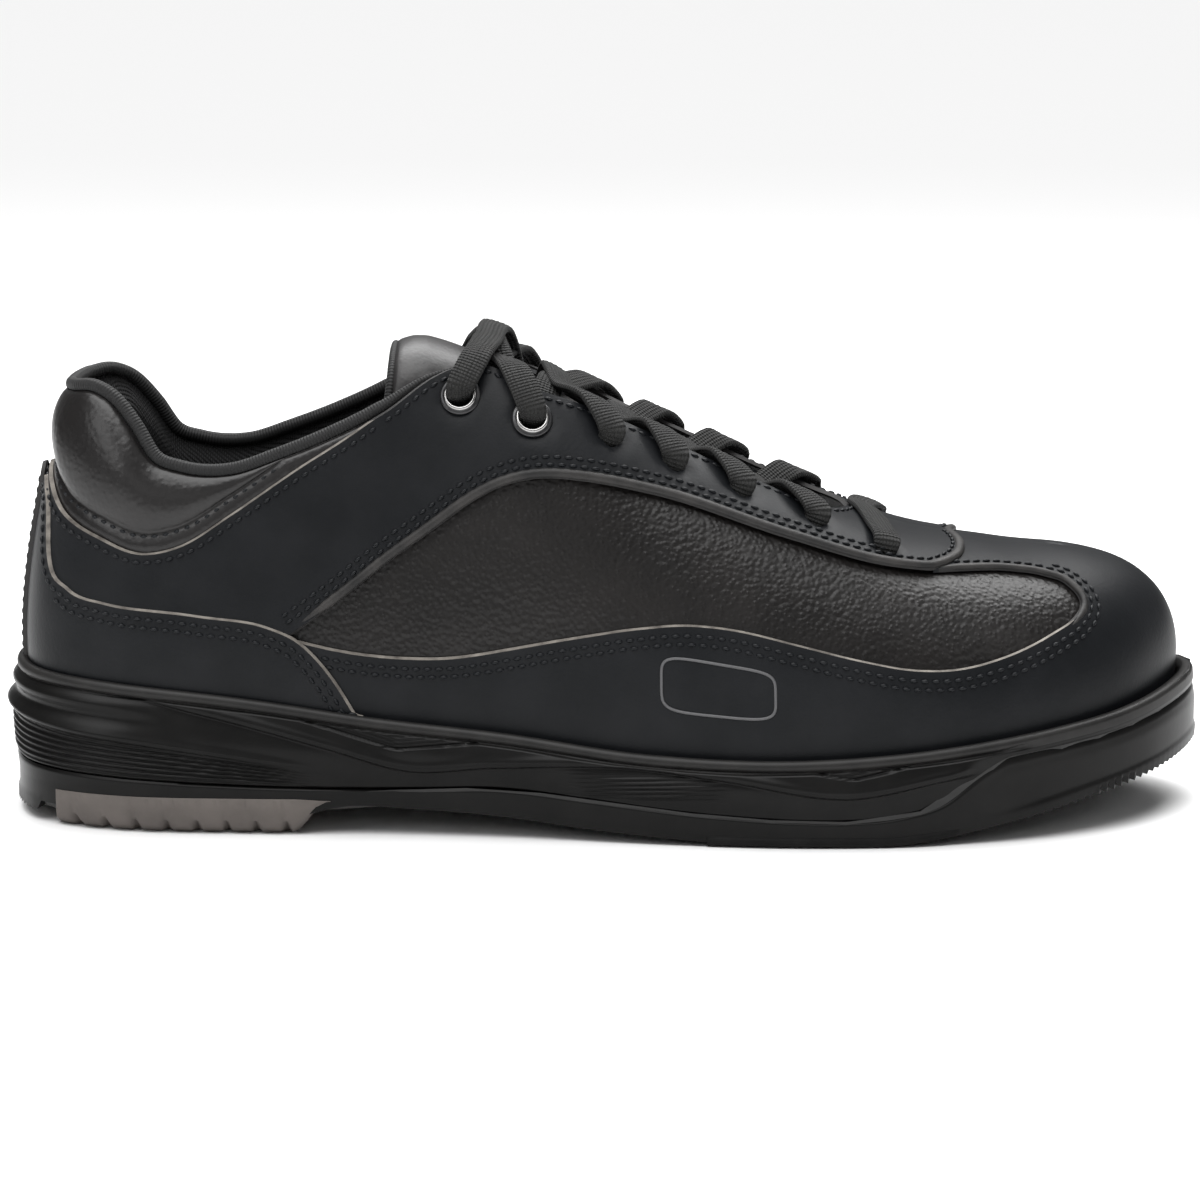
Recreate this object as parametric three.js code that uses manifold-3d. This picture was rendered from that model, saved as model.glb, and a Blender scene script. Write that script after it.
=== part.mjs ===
// A right-foot ten-pin bowling shoe with a lace-up leather upper, a cupped midsole, and a
// sole pad and heel pad that peel off hook-and-loop fields. Lengths are in millimetres.
// +X points to the toe, +Y to the inner side of the foot, +Z up, and the shoe stands on Z = 0.
import * as THREE from "three";
import { mergeVertices } from "three/addons/utils/BufferGeometryUtils.js";
import Module from "manifold-3d";

const wasm = await Module();
wasm.setup();

// ---- Driving dimensions ----
const LAST_LENGTH = 291.5; // heel to toe at the feather line, where upper meets sole
const BALL_WIDTH = 90; // across the ball of the foot at the feather line
const INSTEP_RISE = 91.8; // from the feather line up to the top of the instep
const LEATHER = 1.3;
const LINING = 1.1;
const SEAM_GAP = 0.3; // running gap between pieces that touch
const SEAM_MARGIN = 8; // how far a lower panel runs on under the panel sewn over it
const COLLAR_PUFF_OUT = 2.6;
const COLLAR_PUFF_IN = 4.2;
const BINDING_RADIUS = 1.6;
const CUP_DEPTH = 6; // how far the upper sinks into the midsole
const RIM_WIDTH = 2.5;
const SOLE_EDGE = 5.6; // how far the sole's lower edge stands out from the feather line
const SOLE_BULGE = 7.4;
const INSOLE_BOARD = 1.6;
const FOOTBED_FOAM = 3.6;
const FOOTBED_CLOTH = 0.9;
const FOOTBED_CLEARANCE = 2;
const SOLE_PAD = 2.4; // thickness of the slide pad under the ball of the foot
const SOLE_PAD_START = 178; // x of its rear edge
const HEEL_PAD = 4.8;
const HEEL_PAD_START = 14;
const HEEL_PAD_END = 76;
const FIELD = 0.8; // one layer of hook or of loop
const FIELD_INSET = 7; // from the sole's edge to the hook and loop fields
const EYELET_BORE = 2.9; // radius
const EYELET_FLANGE = 4.6; // radius
const EYELET_WALL = 0.4;
const LACE_HOLE = 2.1; // radius of the punched holes
const LACE_WIDTH = 6.4;
const LACE_THICKNESS = 1.2;
const LACE_BUNCHED = 2.4; // its width where it is squeezed through a hole
const AGLET_LENGTH = 16;
const LACE_PASS = 1.6; // between the middles of two strands that cross
const TONGUE_FOAM = 3.2;
const TONGUE_BINDING = 1.6;
const TONGUE_DEPTH = 6.9; // of its face under the last, clear of the laces
const TONGUE_FLAP = 13; // how far it runs on under each eyestay

// ---- The last: the smooth form that the upper is stretched over ----
// Each station round the shoe, from the heel (0) to the toe tip (11), joins a point on the
// feather line to a point on the crown with a cubic curve. Both feet of a station are given.
const DRAWN = { length: 291.5, width: 90, rise: 91.8 };
const GRADE = new THREE.Vector3(
  LAST_LENGTH / DRAWN.length,
  BALL_WIDTH / DRAWN.width,
  INSTEP_RISE / DRAWN.rise,
);
// x, outer y, inner y at the feather line | x, middle y, half gap, z at the crown |
// how far the curve runs up, bulges, and leaves the crown outwards and downwards
const STATIONS = [
  [7, 1, 1, 16, 1, 0, 112, 0.34, 1.5, 0.1, 0.3],
  [13, -20, 21, 20, 0.5, 14.5, 113, 0.34, 1.5, 0.1, 0.3],
  [33, -31, 32, 37, 0.5, 23.5, 114, 0.34, 1.5, 0.1, 0.3],
  [64, -34, 33, 64, 0, 25, 115, 0.34, 1.5, 0.1, 0.3],
  [98, -35, 31, 98, 0, 21, 118, 0.38, 1.5, 0.3, 0.22],
  [132, -38.5, 31, 128, 0, 9, 118, 0.5, 1.5, 0.75, 0.06],
  [166, -44.5, 36, 158, 1, 0, 102, 0.62, 1, 0.62, 0],
  [200, -48, 42, 190, 1, 0, 85, 0.66, 1, 0.6, 0],
  [232, -46, 43.5, 222, 2, 0, 71.5, 0.7, 1, 0.58, 0],
  [263, -36.5, 39, 248, 4, 0, 66.2, 0.68, 1, 0.57, 0],
  [287, -18, 28, 263, 6, 0, 64.6, 0.66, 1.5, 0.6, 0],
  [298.5, 7, 7, 268, 7, 0, 63.6, 0.66, 2, 0.62, 0],
];
const TOE = STATIONS.length - 1;
const LAP = 2 * TOE;
const CROWN_CLOSED = 6; // from this station to the toe, the two sides meet at the crown
// The feather line's height above the ground: x, z
const FEATHER_HEIGHT = [
  [5, 39.2], [15, 38.6], [40, 36.6], [64, 34], [94, 29.6], [128, 26.2], [161, 22.4],
  [196, 21.4], [225, 23], [261, 27.2], [280, 30], [299, 34.8],
];
// The toe spring: how far the sole's underside lifts off the ground
const SPRING = [
  [0, 0], [210, 0], [222, 0], [235, 1.4], [250, 4.4], [266, 8], [280, 10.8], [292, 13.6], [306, 18],
];
// The outsole's underside: behind the heel pad, over it, through the arch, and under the ball
const UNDERSIDE = [
  [0, 3.4], [60, 3.4], [76, 4.6], [86, 7], [106, 6.7], [126, 5.5], [150, 3], [168, 1.6], [306, 1.4],
];
// The line where outsole and midsole part, above the spring. The outsole wraps up over the toe.
const PARTING = [
  [0, 9.6], [70, 9.8], [100, 11.5], [125, 12.4], [150, 10.4], [180, 7.6], [226, 7.6], [234, 9],
  [246, 15.6], [261, 18.2], [272, 18], [300, 17.6],
];
// ---- Panel edges, as station and share of the way up the wall ----
const FOXING_TOP = [
  [0, 0.6], [0.6, 0.59], [0.88, 0.5], [1.02, 0.37], [1.37, 0.275], [1.82, 0.245],
  [2.62, 0.235], [3.15, 0.215], [3.37, 0.18], [3.59, 0.1], [3.83, -0.03],
];
const MUDGUARD_TOP = [
  [3.3, 0.185], [3.6, 0.165], [4.1, 0.148], [4.5, 0.144], [4.85, 0.155], [5.35, 0.185],
  [5.85, 0.222], [6.3, 0.25], [6.66, 0.258], [7.02, 0.25], [7.48, 0.23], [7.95, 0.213],
  [8.27, 0.218], [8.67, 0.258], [9.08, 0.33], [9.46, 0.42], [9.56, 0.46],
];
const QUARTER_LOW = [
  [3.3, 0.19], [3.66, 0.29], [4.02, 0.38], [4.4, 0.44], [4.7, 0.48], [5.08, 0.51],
  [5.46, 0.522], [5.92, 0.537], [6.37, 0.55], [7.12, 0.565], [7.67, 0.573], [8.18, 0.605],
];
const WINDOW_TOP = [[8.18, 0.605], [8.45, 0.638], [8.95, 0.665], [9.3, 0.63], [9.48, 0.56], [9.56, 0.48]];
const QUARTER_FRONT = [[8.18, 0.605], [8.38, 0.66], [8.58, 0.78], [8.67, 0.89], [8.7, 0.985]];
const COLLAR_LOW = [
  [0, 0.66], [0.3, 0.645], [0.7, 0.6], [1.16, 0.51], [1.65, 0.45], [2.19, 0.41],
  [2.45, 0.44], [2.84, 0.54], [3, 0.58], [3.38, 0.67], [3.8, 0.74], [4, 0.775],
];
const TOPLINE = [
  [0, 0.92], [0.94, 0.925], [1.4, 0.92], [1.61, 0.89], [1.9, 0.8], [2.14, 0.7], [2.42, 0.665],
  [2.84, 0.66], [3.24, 0.7], [3.59, 0.74], [3.95, 0.79], [4.42, 0.89], [4.75, 0.92],
];
const THROAT = [
  [4.75, 0.92], [4.9, 0.87], [5.03, 0.81], [5.35, 0.775], [5.63, 0.765], [6.07, 0.765],
  [6.46, 0.775], [6.94, 0.79], [7.3, 0.8], [7.5, 0.84], [7.62, 0.91], [7.7, 0.985],
];
// Lace holes from the front of the throat to the ankle. The last two carry metal eyelets.
const LACE_HOLES = [
  [7.82, 0.66], [7.29, 0.695], [6.71, 0.69], [6.2, 0.67], [5.7, 0.67], [5.11, 0.67], [4.58, 0.77],
];
const FIRST_EYELET = 5;

// ---- Layers of the upper, as offsets from the last ----
const OVERLAY = [SEAM_GAP, SEAM_GAP + LEATHER];
const BASE = [-LEATHER, 0];
const INNER = [-LEATHER - 2 * SEAM_GAP - LINING, -LEATHER - 2 * SEAM_GAP];
const STAY = [OVERLAY[1] + SEAM_GAP, OVERLAY[1] + SEAM_GAP + LEATHER];

// ---- Curves ----
// A smooth curve through points given in order of their first number.
function along(points, x) {
  const last = points.length - 1;
  const at = Math.min(Math.max(x, points[0][0]), points[last][0]);
  let i = 0;
  while (i < last - 1 && at > points[i + 1][0]) i += 1;
  const slope = (k) => (points[k + 1][1] - points[k][1]) / (points[k + 1][0] - points[k][0]);
  const tangent = (k) => {
    if (k === 0) return slope(0);
    if (k === last) return slope(last - 1);
    const before = points[k][0] - points[k - 1][0];
    const after = points[k + 1][0] - points[k][0];
    return (after * slope(k - 1) + before * slope(k)) / (before + after);
  };
  const width = points[i + 1][0] - points[i][0];
  const t = (at - points[i][0]) / width;
  const rise = tangent(i) * t * (1 - t) ** 2 + tangent(i + 1) * t * t * (t - 1);
  return points[i][1] * (1 + 2 * t) * (1 - t) ** 2 + points[i + 1][1] * t * t * (3 - 2 * t) + width * rise;
}

const gradeX = (x) => x / GRADE.x;
const featherHeight = (x) => along(FEATHER_HEIGHT, gradeX(x));
const spring = (x) => Math.max(0, along(SPRING, gradeX(x)));
const parting = (x) => along(PARTING, gradeX(x)) + spring(x);
const seat = (x) => Math.min(along(PARTING, gradeX(x)), 9.8 - 2.2 * Math.min(gradeX(x) / 180, 1)) + spring(x);

// The station table's numbers at any place round the shoe.
function stationAt(s) {
  const lapped = ((s % LAP) + LAP) % LAP;
  const i = Math.floor(lapped);
  const t = lapped - i;
  const row = (k) => {
    const n = (((i + k) % LAP) + LAP) % LAP;
    const inner = n > TOE;
    const [x, outerY, innerY, cx, cy, gap, cz, up, bulge, out, down] = STATIONS[inner ? LAP - n : n];
    return [x, inner ? innerY : outerY, cx, cy, gap, cz, up, bulge, out, down];
  };
  const [a, b, c, d] = [row(-1), row(0), row(1), row(2)];
  const mixed = b.map((_, k) => 0.5 * (2 * b[k] + (c[k] - a[k]) * t
    + (2 * a[k] - 5 * b[k] + 4 * c[k] - d[k]) * t * t + (3 * b[k] - a[k] - 3 * c[k] + d[k]) * t ** 3));
  const gap = Math.max(0, mixed[4]) * (lapped > TOE ? 1 : -1);
  return { x: mixed[0], y: mixed[1], cx: mixed[2], cy: mixed[3] + gap, cz: mixed[5],
    up: mixed[6], bulge: mixed[7], out: mixed[8], down: mixed[9] };
}

// A point on the last: s is the place round the shoe, t runs from 0 at the feather line to 1 at the crown.
function lastPoint(s, t) {
  const k = stationAt(s);
  const foot = new THREE.Vector3(k.x * GRADE.x, k.y * GRADE.y, 0);
  foot.z = featherHeight(foot.x);
  const rise = (k.cz - along(FEATHER_HEIGHT, k.x)) * GRADE.z;
  const crown = new THREE.Vector3(k.cx * GRADE.x, k.cy * GRADE.y, foot.z + rise);
  const outward = new THREE.Vector3(foot.x - crown.x, foot.y - crown.y, 0);
  const reach = outward.length();
  outward.normalize();
  const first = foot.clone().addScaledVector(outward, k.bulge);
  first.z += k.up * rise;
  const second = crown.clone().addScaledVector(outward, k.out * reach);
  second.z -= k.down * rise;
  return new THREE.CubicBezierCurve3(foot, first, second, crown).getPoint(t);
}

const NUDGE = 0.01;
const crownClosed = (s) => {
  const lapped = ((s % LAP) + LAP) % LAP;
  return lapped >= CROWN_CLOSED - 1e-6 && lapped <= LAP - CROWN_CLOSED + 1e-6;
};

function lastNormal(s, t) {
  const atCrown = t > 1 - 1e-6 && crownClosed(s);
  const round = lastPoint(s + NUDGE, t).sub(lastPoint(s - NUDGE, t));
  if (atCrown) {
    const forward = Math.abs(((s % LAP) + LAP) % LAP - TOE) < 1e-6
      ? lastPoint(TOE, 1).sub(lastPoint(TOE - 1, 1)) : round;
    return new THREE.Vector3(-forward.z, 0, forward.x).multiplyScalar(Math.sign(forward.x)).normalize();
  }
  const low = Math.min(Math.max(t - NUDGE, 0), 1 - 2 * NUDGE);
  const rise = lastPoint(s, low + 2 * NUDGE).sub(lastPoint(s, low));
  return round.cross(rise).normalize();
}

// The last's surface moved out by an offset. Below the feather line the wall runs straight down.
function wallPoint(s, t, offset) {
  const held = Math.min(Math.max(t, 0), 1);
  const point = lastPoint(s, held).addScaledVector(lastNormal(s, held), offset);
  if (t < 0) point.z += t * CUP_DEPTH;
  return point;
}

const wallHeight = (s) => {
  let sum = 0;
  for (let i = 0; i < 10; i += 1) sum += lastPoint(s, i / 10).distanceTo(lastPoint(s, (i + 1) / 10));
  return sum;
};
// A distance up the wall as a share of the wall.
const share = (s, distance) => distance / wallHeight(s);
const steps = (from, to, count) => Array.from({ length: count + 1 }, (_, i) => from + ((to - from) * i) / count);

// ---- Solids ----
function solidFrom(points, triangles) {
  const geometry = new THREE.BufferGeometry();
  geometry.setAttribute("position", new THREE.Float32BufferAttribute(points.flatMap((p) => p.toArray()), 3));
  geometry.setIndex(triangles.flat());
  const merged = mergeVertices(geometry, 1e-3);
  const index = merged.index.array;
  const kept = [];
  for (let i = 0; i < index.length; i += 3) {
    const [a, b, c] = index.slice(i, i + 3);
    if (a !== b && b !== c && c !== a) kept.push(a, b, c);
  }
  const mesh = new wasm.Mesh({
    numProp: 3, vertProperties: merged.attributes.position.array, triVerts: new Uint32Array(kept),
  });
  const made = new wasm.Manifold(mesh);
  if (made.volume() >= 0) return made;
  for (let i = 0; i < kept.length; i += 3) [kept[i], kept[i + 1]] = [kept[i + 1], kept[i]];
  return new wasm.Manifold(new wasm.Mesh({
    numProp: 3, vertProperties: merged.attributes.position.array, triVerts: new Uint32Array(kept),
  }));
}

// A closed slab between two grids of points. A looped slab joins its last row to its first, and
// a pinched end, whose two halves lie on each other, gets no wall.
function slab(under, over, { loop = false, pinchedEnd = false, wallOnTop = () => true } = {}) {
  const rows = under.length;
  const columns = under[0].length;
  const points = [...under.flat(), ...over.flat()];
  const low = (i, j) => (i % rows) * columns + j;
  const high = (i, j) => rows * columns + low(i, j);
  const triangles = [];
  const quad = (a, b, c, d) => triangles.push([a, b, c], [a, c, d]);
  const lastRow = loop ? rows : rows - 1;
  for (let i = 0; i < lastRow; i += 1) {
    for (let j = 0; j < columns - 1; j += 1) {
      quad(high(i, j), high(i + 1, j), high(i + 1, j + 1), high(i, j + 1));
      quad(low(i, j), low(i, j + 1), low(i + 1, j + 1), low(i + 1, j));
    }
    quad(high(i, 0), low(i, 0), low(i + 1, 0), high(i + 1, 0));
    const top = columns - 1;
    if (wallOnTop(i, (i + 1) % rows)) quad(high(i, top), high(i + 1, top), low(i + 1, top), low(i, top));
  }
  if (!loop) {
    for (let j = 0; j < columns - 1; j += 1) {
      quad(high(0, j), high(0, j + 1), low(0, j + 1), low(0, j));
      const end = rows - 1;
      if (!pinchedEnd) quad(high(end, j), low(end, j), low(end, j + 1), high(end, j + 1));
    }
  }
  return solidFrom(points, triangles);
}

const SHELL_STATIONS = [
  ...steps(0, 3, 7), ...steps(3.5, 9, 10), ...steps(9.35, 10.4, 3), 10.7, 11,
].flatMap((s) => (s > 0 && s < TOE ? [s, LAP - s] : [s])).sort((a, b) => a - b);
const SHELL_RISE = [-1, 0, 0.16, 0.32, 0.48, 0.63, 0.77, 0.9, 1];

// One whole layer of the upper, from which the panels of that layer are cut.
function layer([inner, outer]) {
  const grid = (offset) => SHELL_STATIONS.map((s) => SHELL_RISE.map((t) => wallPoint(s, t, offset)));
  const closed = SHELL_STATIONS.map(crownClosed);
  return slab(grid(inner), grid(outer), { loop: true, wallOnTop: (a, b) => !(closed[a] && closed[b]) });
}

const CUT = [-7, 7]; // offsets between which a cutter reaches through every layer

// A patch of wall from one place to another, between a lower and an upper edge.
function patch(places, low, high, [inner, outer] = CUT, count = 5) {
  const grid = (offset) => places.map((s) => steps(low(s), high(s), count)
    .map((t) => wallPoint(s, t, typeof offset === "function" ? offset(s, t) : offset)));
  return slab(grid(inner), grid(outer));
}

// The same over both sides of the crown, for stations where the crown is closed.
function arch(places, low, [inner, outer] = CUT, count = 6) {
  const row = (s, offset) => {
    const rise = steps(low(s), 1, count);
    const outerSide = rise.map((t) => wallPoint(s, t, offset));
    const innerSide = rise.slice(0, -1).reverse().map((t) => wallPoint(LAP - s, t, offset));
    return [...outerSide, ...innerSide];
  };
  const grid = (offset) => places.map((s) => row(s, offset));
  return slab(grid(inner), grid(outer), { pinchedEnd: places.at(-1) === TOE });
}

const joined = (...solids) => wasm.Manifold.union(solids);
const BELOW = -1.5; // under the lower edge of every layer
const SIDES = { lateral: 1, medial: -1 };

// ---- Lace holes ----
const SIGNED = Object.values(SIDES);
function holeFrame(side, index) {
  const [s, t] = LACE_HOLES[index];
  const place = side * s;
  return { place, t, centre: wallPoint(place, t, 0), normal: lastNormal(place, t) };
}
function placeOn(geometry, { centre, normal }) {
  const turn = new THREE.Quaternion().setFromUnitVectors(new THREE.Vector3(0, 1, 0), normal);
  return geometry.applyQuaternion(turn).translate(...centre.toArray());
}
function solidOf(geometry) {
  const bare = geometry.clone();
  bare.deleteAttribute("normal");
  bare.deleteAttribute("uv");
  const source = bare.index ? bare.toNonIndexed() : bare;
  const at = source.attributes.position;
  const points = Array.from({ length: at.count }, (_, i) => new THREE.Vector3().fromBufferAttribute(at, i));
  return solidFrom(points, Array.from({ length: at.count / 3 }, (_, i) => [3 * i, 3 * i + 1, 3 * i + 2]));
}
const HOLE_SIDES = 8;
const barrelRadius = EYELET_BORE + EYELET_WALL;
const holeRadius = (index) => (index < FIRST_EYELET ? LACE_HOLE : barrelRadius + SEAM_GAP);
const laceDrills = SIGNED.flatMap((side) => LACE_HOLES.map((_, index) => {
  const drill = new THREE.CylinderGeometry(holeRadius(index), holeRadius(index), CUT[1] - CUT[0], HOLE_SIDES);
  return solidOf(placeOn(drill, holeFrame(side, index)));
}));
const drilled = (solid) => solid.subtract(joined(...laceDrills));

// ---- Materials ----
const finish = (color, roughness, metalness = 0) => new THREE.MeshStandardMaterial({ color, roughness, metalness });
const FINISHES = {
  smoothLeather: finish(0x17181b, 0.55),
  grainLeather: finish(0x161517, 0.48),
  glossLeather: finish(0x151416, 0.32),
  binding: finish(0x131313, 0.8),
  textile: finish(0x0e0e0f, 0.95),
  foam: finish(0x2b2b2d, 0.95),
  stiffener: finish(0x8d8a80, 0.7),
  board: finish(0xb7a98c, 0.9),
  steel: finish(0x9a9da1, 0.35, 1),
  nickel: finish(0xb4b4b2, 0.22, 1),
  lace: finish(0x1a1a19, 0.9),
  aglet: finish(0x101010, 0.25),
  midsole: finish(0x151515, 0.6),
  outsole: finish(0x0f0f10, 0.55),
  hook: finish(0x1c1c1c, 0.85),
  loop: finish(0x242424, 0.95),
  pad: finish(0x101010, 0.9),
  heelRubber: finish(0x6d6661, 0.75),
};

const shoe = new THREE.Group();
const FINENESS = 0.05; // detail smaller than this is smoothed away
function add(name, solid, material) {
  const { numProp, vertProperties, triVerts } = solid.simplify(FINENESS).getMesh();
  const points = [];
  for (let i = 0; i < vertProperties.length; i += numProp) points.push(...vertProperties.slice(i, i + 3));
  const geometry = new THREE.BufferGeometry();
  geometry.setAttribute("position", new THREE.Float32BufferAttribute(points, 3));
  geometry.setIndex(Array.from(triVerts));
  const mesh = new THREE.Mesh(geometry, material);
  mesh.name = name;
  shoe.add(mesh);
  return solid;
}

// ---- Upper: the overlay leathers ----
const overlay = layer(OVERLAY);
const seam = (s) => share(s, SEAM_GAP + 0.1);
const margin = (s) => share(s, SEAM_MARGIN);
const foxingEnd = FOXING_TOP.at(-1)[0];
const windowEnd = WINDOW_TOP.at(-1)[0];
const windowStart = QUARTER_LOW[0][0];
const quarterJoin = WINDOW_TOP[0][0]; // where the quarter's edge passes to the toe guard's
const quarterTip = QUARTER_FRONT.at(-1)[0];
const toeJoin = quarterJoin + 0.12;

const foxingTop = (s) => along(FOXING_TOP, Math.abs(s));
function quarterLow(s) {
  if (s < windowStart + 0.05) return foxingTop(s) - seam(s);
  if (s < quarterJoin) return along(QUARTER_LOW, s);
  return along(QUARTER_FRONT, s);
}
function quarterHigh(s) {
  if (s < COLLAR_LOW.at(-1)[0]) return Math.min(along(COLLAR_LOW, s), along(TOPLINE, s));
  if (s < THROAT[0][0]) return along(TOPLINE, s);
  return s < THROAT.at(-1)[0] ? along(THROAT, s) : 1;
}
const windowTop = (s) => along(s < quarterJoin ? QUARTER_LOW : WINDOW_TOP, s);
const fromHeel = (count) => steps(-foxingEnd, foxingEnd, count);

add("heel_foxing", overlay.intersect(patch(fromHeel(28), () => BELOW, foxingTop)), FINISHES.smoothLeather);
const foxingRoom = patch(
  [-foxingEnd - NUDGE, ...fromHeel(28), foxingEnd + NUDGE],
  () => BELOW,
  (s) => foxingTop(s) + seam(s),
);

const quarterPlaces = [
  ...steps(0.02, 3.34, 11), ...steps(3.6, 7.5, 13), 7.62, 7.7, 7.74, ...steps(8, 8.5, 3), 8.6, quarterTip,
];
const quarterCut = (sign, room) => patch(
  [...quarterPlaces, ...(room ? [quarterTip + NUDGE] : [])].map((s) => sign * s),
  (p) => quarterLow(Math.abs(p)) - room,
  (p) => (Math.abs(p) >= 7.74 ? 1 - share(p, SEAM_GAP / 2) : quarterHigh(Math.abs(p))),
);
for (const [side, sign] of Object.entries(SIDES)) {
  const quarter = overlay.intersect(quarterCut(sign, 0)).subtract(foxingRoom);
  add(`quarter_${side}`, drilled(quarter), FINISHES.smoothLeather);
}

// The toe guard wraps the toe and runs back along both sides as the mudguard.
const guardLow = (s) => (s < foxingEnd ? foxingTop(s) - seam(s) : BELOW);
const guardPlaces = [...steps(3.4, foxingEnd, 4), foxingEnd + 0.02, ...steps(4.1, 9.4, 20), windowEnd + 0.02];
const guardBand = (sign) => patch(
  guardPlaces.map((s) => sign * s),
  (p) => guardLow(Math.abs(p)),
  (p) => along(MUDGUARD_TOP, Math.abs(p)),
);
const guardToe = arch([...steps(windowEnd, TOE, 8)], () => BELOW);
const guardBridge = arch(
  [...steps(quarterTip + 0.03, windowEnd + 0.02, 7)],
  (s) => along(WINDOW_TOP, s),
);
const guardTongue = SIGNED.map((sign) => patch(
  [...steps(toeJoin, quarterTip - 0.14, 3), quarterTip - 0.04, quarterTip + 0.08].map((s) => sign * s),
  (p) => along(WINDOW_TOP, Math.abs(p)),
  (p) => Math.min(along(QUARTER_FRONT, Math.abs(p)), 1),
));
const guard = joined(...SIGNED.map(guardBand), guardToe, guardBridge, ...guardTongue);
const guardRoom = joined(foxingRoom, ...SIGNED.map((sign) => quarterCut(sign, seam(quarterTip))));
add("toe_guard", overlay.intersect(guard).subtract(guardRoom), FINISHES.smoothLeather);

// The back stay covers the seam up the heel and carries the pull tab's fold at its top.
const STAY_HALF_WIDTH = 0.6;
const stayTop = (s) => along(COLLAR_LOW, Math.abs(s)) - seam(s);
const stayPlaces = steps(-STAY_HALF_WIDTH, STAY_HALF_WIDTH, 6);
add("back_stay", layer(STAY).intersect(patch(stayPlaces, () => 0.02, stayTop)), FINISHES.smoothLeather);

// ---- Upper: the base leathers and stiffeners ----
const base = layer(BASE);
for (const [side, sign] of Object.entries(SIDES)) {
  const places = [...steps(windowStart - 0.15, 9.3, 20), 9.45, windowEnd + 0.1].map((s) => sign * s);
  const low = (p) => along(MUDGUARD_TOP, Math.abs(p)) - margin(p);
  const high = (p) => windowTop(Math.abs(p)) + margin(p);
  add(`side_panel_${side}`, drilled(base.intersect(patch(places, low, high))), FINISHES.grainLeather);
  const facing = steps(4.3, 7.45, 12).map((s) => sign * s);
  const facingLow = (p) => windowTop(Math.abs(p)) + margin(p) + 3 * seam(p);
  const facingHigh = (p) => quarterHigh(Math.abs(p));
  add(`eyestay_facing_${side}`, drilled(base.intersect(patch(facing, facingLow, facingHigh))), FINISHES.textile);
}
const counterPlaces = steps(-2.7, 2.7, 14);
const counterTop = (s) => Math.min(along(COLLAR_LOW, Math.abs(s)) - 0.04, 0.5);
add("heel_counter", base.intersect(patch(counterPlaces, () => BELOW, counterTop)), FINISHES.stiffener);
add("toe_puff", base.intersect(arch(steps(9.85, TOE, 6), () => BELOW)), FINISHES.stiffener);

// ---- Upper: collar, linings and binding ----
const liningJoin = 3.9; // where the collar's lining meets the vamp's
const collarPlaces = [
  0, 0.3, 0.6, 0.94, 1.17, 1.4, 1.5, 1.61, 1.75, 1.9, 2.02, 2.14, 2.28, 2.42, 2.63, 2.84, 3.04, 3.24,
  3.42, 3.59, 3.75,
];
const bothSides = (places) => [...places.slice(1).reverse().map((s) => -s), ...places];
const collarLow = (s) => along(COLLAR_LOW, Math.abs(s)) + seam(s);
const topline = (s) => along(TOPLINE, Math.abs(s));
// How full the padding is at a place in the collar: none at its edges, and all of it between them
const puff = (s, t) => {
  const height = topline(s) - collarLow(s);
  const up = Math.min(Math.max((t - collarLow(s)) / Math.max(height, 0.02), 0), 1);
  return Math.sin(Math.PI * up) * Math.min(Math.max(height / 0.18, 0), 1);
};
const collarRing = bothSides(collarPlaces);
add("collar_panel", patch(collarRing, collarLow, topline, [
  (s, t) => BASE[0] + COLLAR_PUFF_OUT * puff(s, t),
  (s, t) => BASE[1] + COLLAR_PUFF_OUT * puff(s, t),
], 4), FINISHES.glossLeather);
const FOAM_EDGE = 0.2;
const foamBand = (s, k) => collarLow(s) + k * (topline(s) - collarLow(s));
const foamPlaces = bothSides(collarPlaces.filter((s) => s < 2.9));
add("collar_foam", patch(foamPlaces, (s) => foamBand(s, FOAM_EDGE), (s) => foamBand(s, 1 - FOAM_EDGE), [
  (s, t) => INNER[1] - COLLAR_PUFF_IN * puff(s, t) + 3 * SEAM_GAP,
  (s, t) => BASE[0] + COLLAR_PUFF_OUT * puff(s, t) - 2 * SEAM_GAP,
], 3), FINISHES.foam);

const liningRow = (s, offset) => {
  const [low, high] = [Math.min(collarLow(s), topline(s) - 0.1), topline(s)];
  return [-1, 0.02, 0.2, 0.38, ...steps(low, high, 4)]
    .map((t) => wallPoint(s, t, offset - COLLAR_PUFF_IN * puff(s, t)));
};
const liningGrid = (offset) => bothSides([...collarPlaces, liningJoin]).map((s) => liningRow(s, offset));
add("collar_lining", slab(liningGrid(INNER[0]), liningGrid(INNER[1])), FINISHES.textile);

const vampStart = liningJoin + 0.06;
const vampEdge = (s) => (s < THROAT[0][0] ? along(TOPLINE, s) : along(THROAT, s));
const vampLiningSide = (sign) => patch(
  [vampStart, ...steps(4.2, 7.4, 10), 7.5, 7.62, 7.7].map((s) => sign * s),
  () => BELOW,
  (p) => vampEdge(Math.abs(p)),
  CUT,
  8,
);
const vampLining = joined(...SIGNED.map(vampLiningSide), arch([7.7, ...steps(8, TOE, 6)], () => BELOW));
add("vamp_lining", drilled(layer(INNER).intersect(vampLining)), FINISHES.textile);

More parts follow.
